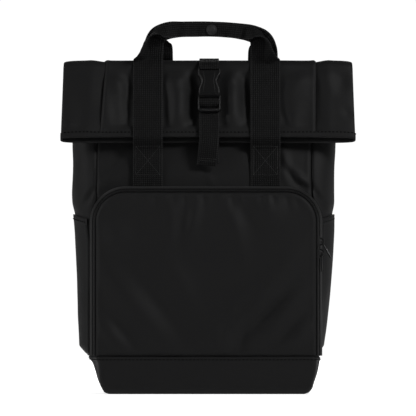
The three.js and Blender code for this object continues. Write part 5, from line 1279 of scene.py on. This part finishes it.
# Shoulder straps: foam between two layers of cloth, bound at the edges, sewn under the yoke at the top and
# held at the foot by a webbing tab, an adjuster and a webbing that is sewn low on the back.
PAD_FOOT = 146
PAD_WIDTH = 62
PAD_THICK = 10
PAD_STANDOFF = 34
YOKE_HEIGHT = 34
ADJUSTER_HEIGHT = 24
ANCHOR_UP = 62
ANCHOR_OUT = 118
STRAP_TAIL = 46
LOW_BAR = 4
PAD_PATH = {
    "out": [0.29, 0.29, 0.29, 0.295, 0.31, 0.335, 0.38, 0.44, 0.51, 0.57, 0.603, 0.623],
    "up": [1.15, 0.99, 0.965, 0.94, 0.88, 0.79, 0.66, 0.5, 0.33, 0.16, 0.07, 0.0],
    "off": [0.0, 0.0, 0.06, 0.22, 0.46, 0.74, 0.96, 1.0, 0.88, 0.68, 0.53, 0.43],
    "thick": [0.3, 0.3, 0.7, 1, 1, 1, 1, 1, 1, 1, 0.5, 0.5],
    "wide": [0.92, 0.92, 0.98, 1, 1, 1, 1, 1, 1, 0.95, 0.75, 0.64],
}
# A pad starts slimmer than it ends up, because the simulation swells it
PAD_SLIM = 0.86


def back_face(z):
    """Depth just behind the back panel at its middle, at a height."""
    return panel_y(BACK, 0, z) + SEAM_GAP


def pad_rows(side):
    """Middle, width, thickness and frame of a shoulder strap at the rows of its table."""
    row = {key: np.array(values, float) for key, values in PAD_PATH.items()}
    thick = PAD_THICK * row["thick"]
    z = lerp(PAD_FOOT, PAD_TOP - YOKE_HEIGHT - SEAM_GAP, row["up"])
    y = back_face(z) + thick / 2 + row["off"] * PAD_STANDOFF
    middle = np.stack([side * row["out"] * HALF_BODY, y, z], -1)
    down = unit(np.gradient(middle, axis=0))
    to_side = np.array([side, 0.0, 0.0])
    across = unit(to_side - down * (down @ to_side)[:, None])
    return middle, PAD_WIDTH * row["wide"], thick, down, across, -side * np.cross(down, across)


def pad_surface(side):
    """A shoulder strap as a loft: a flat section with rounded edges, carried along the strap's smooth line.
    The section's two halves are powers of the cosine and sine, and it starts slim, because the pad swells."""
    rings, sides = 200, 56
    middle, wide, thick, _, across, out = pad_rows(side)
    _, run = path_frames(middle)
    at = np.linspace(0, run[-1], rings)
    line = curve_points(run, middle, at)
    beside, outward = unit(curve_points(run, across, at)), unit(curve_points(run, out, at))
    turn = np.linspace(0, 2 * np.pi, sides, endpoint=False)
    a = np.sign(np.cos(turn)) * np.abs(np.cos(turn)) ** 0.35
    b = np.sign(np.sin(turn)) * np.abs(np.sin(turn)) ** 0.7
    width, depth = curve(run, wide, at)[:, None] / 2, curve(run, thick, at)[:, None] / 2 * PAD_SLIM
    across, out = beside[:, None] * (a * width)[..., None], outward[:, None] * (b * depth)[..., None]
    return line[:, None] + across + out, line, beside, outward, width[:, 0]


padding_cloth = cloth_finish("padding_cloth", (0.0044, 0.0044, 0.0047), (0.0068, 0.0068, 0.0072), 0.58, 0.24)


def swell(piece, cap):
    """Cloth simulation of a pad: air pressure swells it for 20 steps, and no point moves past the cap."""
    scene = bpy.context.scene
    steps = 20
    remesh = piece.modifiers.new("remesh", "REMESH")
    remesh.mode = "VOXEL"
    remesh.voxel_size = 0.004
    settle(piece)
    rest = read_points(piece)
    modifier = piece.modifiers.new("cloth", "CLOTH")
    modifier.settings.use_pressure = True
    modifier.settings.uniform_pressure_force = 4
    modifier.settings.effector_weights.gravity = 0
    modifier.settings.quality = 5
    modifier.point_cache.frame_end = steps
    for step in range(1, steps + 1):
        scene.frame_set(step)
    settle(piece)
    moved = read_points(piece) - rest
    far = np.linalg.norm(moved, axis=1, keepdims=True)
    piece.data.vertices.foreach_set("co", (rest + moved * np.minimum(1, cap / np.maximum(far, 1e-9))).ravel())
    piece.data.update()
    scene.frame_set(1)


def settle(piece):
    """Replaces a piece's mesh by what its modifiers make of it, and takes the modifiers off."""
    graph = bpy.context.evaluated_depsgraph_get()
    made = bpy.data.meshes.new_from_object(piece.evaluated_get(graph), depsgraph=graph)
    piece.modifiers.clear()
    piece.data = made


def read_points(piece):
    """The piece's points as one array."""
    points = np.empty(3 * len(piece.data.vertices))
    piece.data.vertices.foreach_get("co", points)
    return points.reshape(-1, 3)


pad_webbing = webbing_finish("pad_binding", NO_SELVAGE, (0.004, 0.004, 0.0045), (0.011, 0.011, 0.0115),
                             0.0012)
SWELL_CAP = 0.0035
PIPING_RADIUS = 1.5
for name, side in (("left", -1), ("right", 1)):
    surface, middle_line, beside, outward, width = pad_surface(side)
    pad = make_tube("padded_strap_" + name, surface, padding_cloth, ["shoulder_strap_" + name])
    swell(pad, SWELL_CAP)
    smooth_pad = pad.modifiers.new("smooth", "SUBSURF")
    smooth_pad.levels = 1
    smooth_pad.render_levels = 1
    pad.data.polygons.foreach_set("use_smooth", np.ones(len(pad.data.polygons), bool))
    edge_turn = np.linspace(0, 2 * np.pi, 12, endpoint=False)[None, :, None]
    for place, turn_side in (("outer", 1), ("inner", -1)):
        line = middle_line + beside * ((width + SEAM_GAP / 2) * turn_side)[:, None]
        round_line = beside[:, None] * np.cos(edge_turn) * turn_side + outward[:, None] * np.sin(edge_turn)
        ring = line[:, None] + PIPING_RADIUS * round_line
        make_tube("pad_binding_" + place + "_" + name, ring, pad_webbing)
    middle, _, _, down, across, out = [values[-1] for values in pad_rows(side)]
    rounded_copy("moulded_adjuster_" + name, "strap_adjuster_" + name, black_plastic, 0.5)

    def in_adjuster(up, off):
        """A point of the adjuster's own frame, on its middle line."""
        return middle + out * off - down * up
    top_bar_half = PLASTIC * 0.64
    low = -SEAM_GAP - ADJUSTER_HEIGHT
    behind = -PLASTIC / 2 - WEB_LIFT
    lap = PAD_THICK * 0.5 + WEB_LIFT
    turn = top_bar_half + WEB_LIFT
    foot = -SEAM_GAP - BAR_DEPTH - WEB_LIFT
    half_tab = [(PAD_THICK, lap + SEAM_GAP), (SEAM_GAP, lap), (foot + 1, turn), (foot, turn * 0.4)]
    tab = [(up, -off) for up, off in half_tab] + half_tab[::-1]
    ribbon("tab_webbing_" + name, [in_adjuster(*pair) for pair in tab], across, "strap_tab_" + name, 90)
    passes = adjuster_path((low + 3 * LOW_BAR, 0), low, behind, behind + WEB_THICK + SEAM_GAP)
    through = [in_adjuster(*pair) for pair in passes]
    anchors = [(side * ANCHOR_OUT, float(back_face(up)) + WEB_LIFT, up)
               for up in (ANCHOR_UP - BASE_HEIGHT / 5, ANCHOR_UP + BASE_HEIGHT / 4)]
    loose = [through[-1] + np.array([0, 2.5 * share, -share * STRAP_TAIL]) for share in (0.4, 1)]
    directions = [(side, 0, 0)] * 2 + [across] * (len(through) + 2)
    ribbon("long_webbing_" + name, [*anchors, *through, *loose], directions, "strap_webbing_" + name, 300)

# Yoke: one band of the bag's cloth, laid across the back over the tops of both shoulder straps. It is sewn
# down with a row of stitches along its upper and its lower edge.
YOKE_SHAPE = {"across": [0, 0.11, 0.2, 0.55, 0.9, 1.0], "lift": [0, 0, 1, 1, 1, 0]}
YOKE_THICK = 2
YOKE_MARGIN = 4
yoke_half = PAD_PATH["out"][0] * HALF_BODY + PAD_WIDTH / 2 + PAD_THICK


def yoke_point(x, z, out=0.0):
    """A point of the yoke's outside: level on the back panel, lifted where it passes over the straps."""
    lift = curve(YOKE_SHAPE["across"], YOKE_SHAPE["lift"], np.abs(x) / yoke_half)
    y = back_face(z) + np.clip(lift, 0, 1) * (PAD_THICK * PAD_PATH["thick"][0] + SEAM_GAP) + YOKE_THICK + out
    return joined(x, y, z)


yoke_x = np.linspace(yoke_half, -yoke_half, 150)[None, :]
yoke_z = np.linspace(PAD_TOP - YOKE_HEIGHT, PAD_TOP, 36)[:, None]
yoke_ends = np.minimum(yoke_z - PAD_TOP + YOKE_HEIGHT, PAD_TOP - yoke_z)
yoke_edge = np.minimum(yoke_ends, yoke_half - np.abs(yoke_x))
yoke_out = 0.5 * seam_dip(np.abs(yoke_edge - YOKE_MARGIN)) - 0.9 * np.exp(-yoke_edge ** 2)
make_wall("yoke_cloth", yoke_point(yoke_x, yoke_z, yoke_out), cloth, ["strap_yoke"])

# Stitches: lockstitch in bonded thread, a row of short thread bars that each sink a little into the cloth.
# The boxes that hold the handles are sewn in a lighter thread than the seams.


def thread_finish(name, grey):
    """Bonded thread: smooth, a little glossy, twisted at the scale of the thread."""
    material, tree, shader = new_finish(name, 0.7, 0.1)
    twisted = tint(tree, noise(tree, 2500, 1), [0.6 * grey] * 3, [1.4 * grey] * 3)
    tree.links.new(twisted, shader.inputs["Base Color"])
    return material


light_thread = thread_finish("light_thread", 0.055)
# The seams' thread is black, and made darker than the black cloth: painted shade, so that its stitches read
# as the dark dips they sink into.
black_thread_and_painted_shade = thread_finish("black_thread_and_painted_shade", 0.0005)


def on_grid(grid, row, column):
    """Points of a grid at fractional rows and columns, by straight lines between its own points."""
    row = np.clip(row, 0, grid.shape[0] - 1.001)
    column = np.clip(column, 0, grid.shape[1] - 1.001)
    r, c = np.floor(row).astype(int), np.floor(column).astype(int)
    a, b = (row - r)[:, None], (column - c)[:, None]
    return lerp(lerp(grid[r, c], grid[r, c + 1], b), lerp(grid[r + 1, c], grid[r + 1, c + 1], b), a)


def stitch_rows(name, lines, thread, pitch, length, radius):
    """One mesh of thread bars along several lines, at an even pitch on each."""
    centres, ways = [], []
    for line in lines:
        way, _ = path_frames(line)
        centre, along = resample(line, pitch, way)
        centres.append(centre)
        ways.append(unit(along))
    points, faces = rods(np.concatenate(centres), np.concatenate(ways), length / 2, radius)
    make_piece(name, points, faces, points[:, :2] * MM, thread)


# Each row's thread: its pitch, the length of a stitch and the thread's radius
SEAM_STITCH = (4.8, 2.6, 0.6)
POCKET_STITCH = (4.8, 2.6, 0.5)
YOKE_STITCH = (3.4, 2.3, 0.34)
BOX_STITCH = (2.6, 1.9, 0.26)
TAIL_STITCH = (2.4, 1.7, 0.3)
BOX_WIDTH = 30.6
THREAD_PROUD = 0.1
HEM_STITCH_DOWN = 0.9
hem_ring = mouth_ring([-BINDING_PROUD - THREAD_PROUD])[0] + (BINDING_START + HEM_STITCH_DOWN) * FLAP_WAY
hem_outside = np.concatenate([hem_ring[-12:], hem_ring[:102]])
stitch_rows("hem_stitches", [hem_outside], black_thread_and_painted_shade, *SEAM_STITCH)


def leg_lines(grid, leg_rows, low, top):
    """A sewn box on one leg of a handle, with its diagonals: lines on a grid with a column a millimetre."""
    half, middle = BOX_WIDTH / 2, HANDLE_WEB // 2
    heights = grid[leg_rows, middle, 2]
    order = np.argsort(heights)
    share = np.linspace(0, 1, 60)

    def line(s0, z0, s1, z1):
        """A straight line of the box, from across s0 at height z0 to across s1 at height z1."""
        row = np.interp(lerp(z0, z1, share), heights[order], leg_rows[order])
        return on_grid(grid, row, lerp(s0, s1, share) + middle)
    return [line(-half, low, half, low), line(half, low, half, top), line(half, top, -half, top),
            line(-half, top, -half, low), line(-half, low, half, top), line(-half, top, half, low)]


for name, low, top in (("front_handle", 277.5, 314), ("rear_handle", 358, 388)):
    web_across = np.linspace(-HANDLE_WEB / 2, HANDLE_WEB / 2, HANDLE_WEB + 1)[None, :]
    web_grid = handle_points[name](web_across, np.full_like(web_across, -WEB_THICK / 2 - THREAD_PROUD))
    first_leg = np.arange(46)
    last_leg = first_leg + len(web_grid) - 46
    boxes = leg_lines(web_grid, first_leg, low, top) + leg_lines(web_grid, last_leg, low, top)
    stitch_rows(name + "_stitches", boxes, light_thread, *BOX_STITCH)


def tail_line(down, width, off):
    """A line across the closure strap's tail, at a distance up from its end."""
    middle, beside, face, length = tail
    i = int(np.searchsorted(length, length[-1] - down))
    front = face[i] * np.sign(-face[i, 1])
    s = np.linspace(-width / 2, width / 2, 30)[:, None]
    return middle[i] + beside[i] * s + front * (WEB_THICK / 2 + off)


tail_lines = [tail_line(9.0, 21, THREAD_PROUD), tail_line(6.6, 19, THREAD_PROUD)]
stitch_rows("tail_stitches", tail_lines, light_thread, *TAIL_STITCH)


def base_line(up):
    """A line round the base's outside at a share of its height, which stops just short of its own start."""
    ring = base_ring(up, -THREAD_PROUD)
    at = np.linspace(0.0, 0.999, 400) * len(ring)
    closed = np.concatenate([ring, ring[:1]])
    return joined(*[np.interp(at, np.arange(len(closed)), part) for part in closed.T], up * BASE_HEIGHT)


BASE_STITCH_UP = 0.91
stitch_rows("base_stitches", [base_line(BASE_STITCH_UP)], black_thread_and_painted_shade, *SEAM_STITCH)
stitch_z, stitch_angle = SIDE_POCKET_TOP - SIDE_HEM + 2.8, np.linspace(-64, 64, 120)
pocket_lines = [side_pocket_point(side, stitch_z, stitch_angle, SIDE_HEM_PROUD + 0.15) for side in (-1, 1)]
stitch_rows("slip_pocket_stitches", pocket_lines, black_thread_and_painted_shade, *POCKET_STITCH)
yoke_line_x = np.linspace(-yoke_half + YOKE_MARGIN, yoke_half - YOKE_MARGIN, 260)
yoke_lines = [yoke_point(yoke_line_x, np.full(260, z), THREAD_PROUD)
              for z in (PAD_TOP - YOKE_MARGIN, PAD_TOP - YOKE_HEIGHT + YOKE_MARGIN)]
stitch_rows("yoke_stitches", yoke_lines, black_thread_and_painted_shade, *YOKE_STITCH)

# Studio: a pale floor and soft light from large panels, as in a catalogue picture. The camera stands far off
# at the height of the bag's middle and looks level along +Y.
VIEW_WIDTH = 0.528
VIEW_DISTANCE = 14.0
SHARP_PLANE = 0.02
VIEW_HEIGHT = 0.235585


def add_light(name, place, target, size, power):
    """A square area light of that size and power, turned to face its target."""
    lamp = bpy.data.lights.new(name, "AREA")
    lamp.shape = "SQUARE"
    lamp.size = size
    lamp.energy = power
    holder = bpy.data.objects.new(name, lamp)
    holder.location = place
    direction = Vector(target) - Vector(place)
    holder.rotation_euler = direction.to_track_quat("-Z", "Y").to_euler()
    bpy.context.scene.collection.objects.link(holder)


SENSOR = 36
camera = bpy.data.cameras.new("camera")
camera.sensor_width = SENSOR
camera.lens = SENSOR * (VIEW_DISTANCE - SHARP_PLANE) / VIEW_WIDTH
camera.clip_end = 100
camera_holder = bpy.data.objects.new("camera", camera)
camera_holder.location = (0, -VIEW_DISTANCE, VIEW_HEIGHT)
camera_holder.rotation_euler = (np.pi / 2, 0, 0)
bpy.context.scene.collection.objects.link(camera_holder)
bpy.context.scene.camera = camera_holder

add_light("key_light", (2.1, -1.7, 2.2), (0, 0, 0.25), 0.9, 48)
add_light("left_light", (-2.6, -0.7, 1.3), (0, 0, 0.2), 1.1, 22)
add_light("front_light", (-0.6, -3.3, 0.5), (0, 0, 0.2), 1.6, 2.5)
add_light("back_light", (0.1, 3.0, 1.0), (0, 0, 0.25), 1.6, 26)

floor_mesh = bpy.data.meshes.new("floor")
floor_mesh.from_pydata([(-3, -3, 0), (3, -3, 0), (3, 3, 0), (-3, 3, 0)], [], [(0, 1, 2, 3)])
floor = bpy.data.objects.new("floor", floor_mesh)
bpy.context.scene.collection.objects.link(floor)
pale, pale_tree, pale_shader = new_finish("pale_floor", 0.7, 0.1)
pale_shader.inputs["Base Color"].default_value = (0.85, 0.85, 0.85, 1)
pale_shader.inputs["Emission Color"].default_value = (1, 1, 1, 1)
# The floor glows for the camera: fully from 0.6 m out, and dimmed to 0.72 within 0.2 m of the bag's middle, a
# painted soft shadow round its foot. For all rays it glows at least 0.16, a painted bounce light on the bag's
# base.
floor_place = add_node(pale_tree, "ShaderNodeTexCoord").outputs["Object"]
floor_far = add_node(pale_tree, "ShaderNodeVectorMath", {0: floor_place}, operation="LENGTH")
painted_shadow_range = {"From Min": 0.2, "From Max": 0.6, "To Min": 0.72, "To Max": 1.0}
floor_glow_and_painted_shadow = add_node(pale_tree, "ShaderNodeMapRange", {"Value": floor_far.outputs["Value"], **painted_shadow_range})
floor_ray = add_node(pale_tree, "ShaderNodeLightPath")
floor_seen = maths(pale_tree, "MULTIPLY", floor_glow_and_painted_shadow.outputs[0], floor_ray.outputs["Is Camera Ray"])
pale_tree.links.new(maths(pale_tree, "MAXIMUM", floor_seen, 0.16), pale_shader.inputs["Emission Strength"])
floor_mesh.materials.append(pale)

world = bpy.data.worlds.new("studio")
world.use_nodes = True
bpy.context.scene.world = world
sky = world.node_tree.nodes["Background"]
ray = add_node(world.node_tree, "ShaderNodeLightPath")
strength = maths(world.node_tree, "ADD", ray.outputs["Is Camera Ray"], 0.03)
world.node_tree.links.new(strength, sky.inputs["Strength"])
sky.inputs["Color"].default_value = (1, 1, 1, 1)
bpy.context.scene.view_settings.view_transform = "Standard"
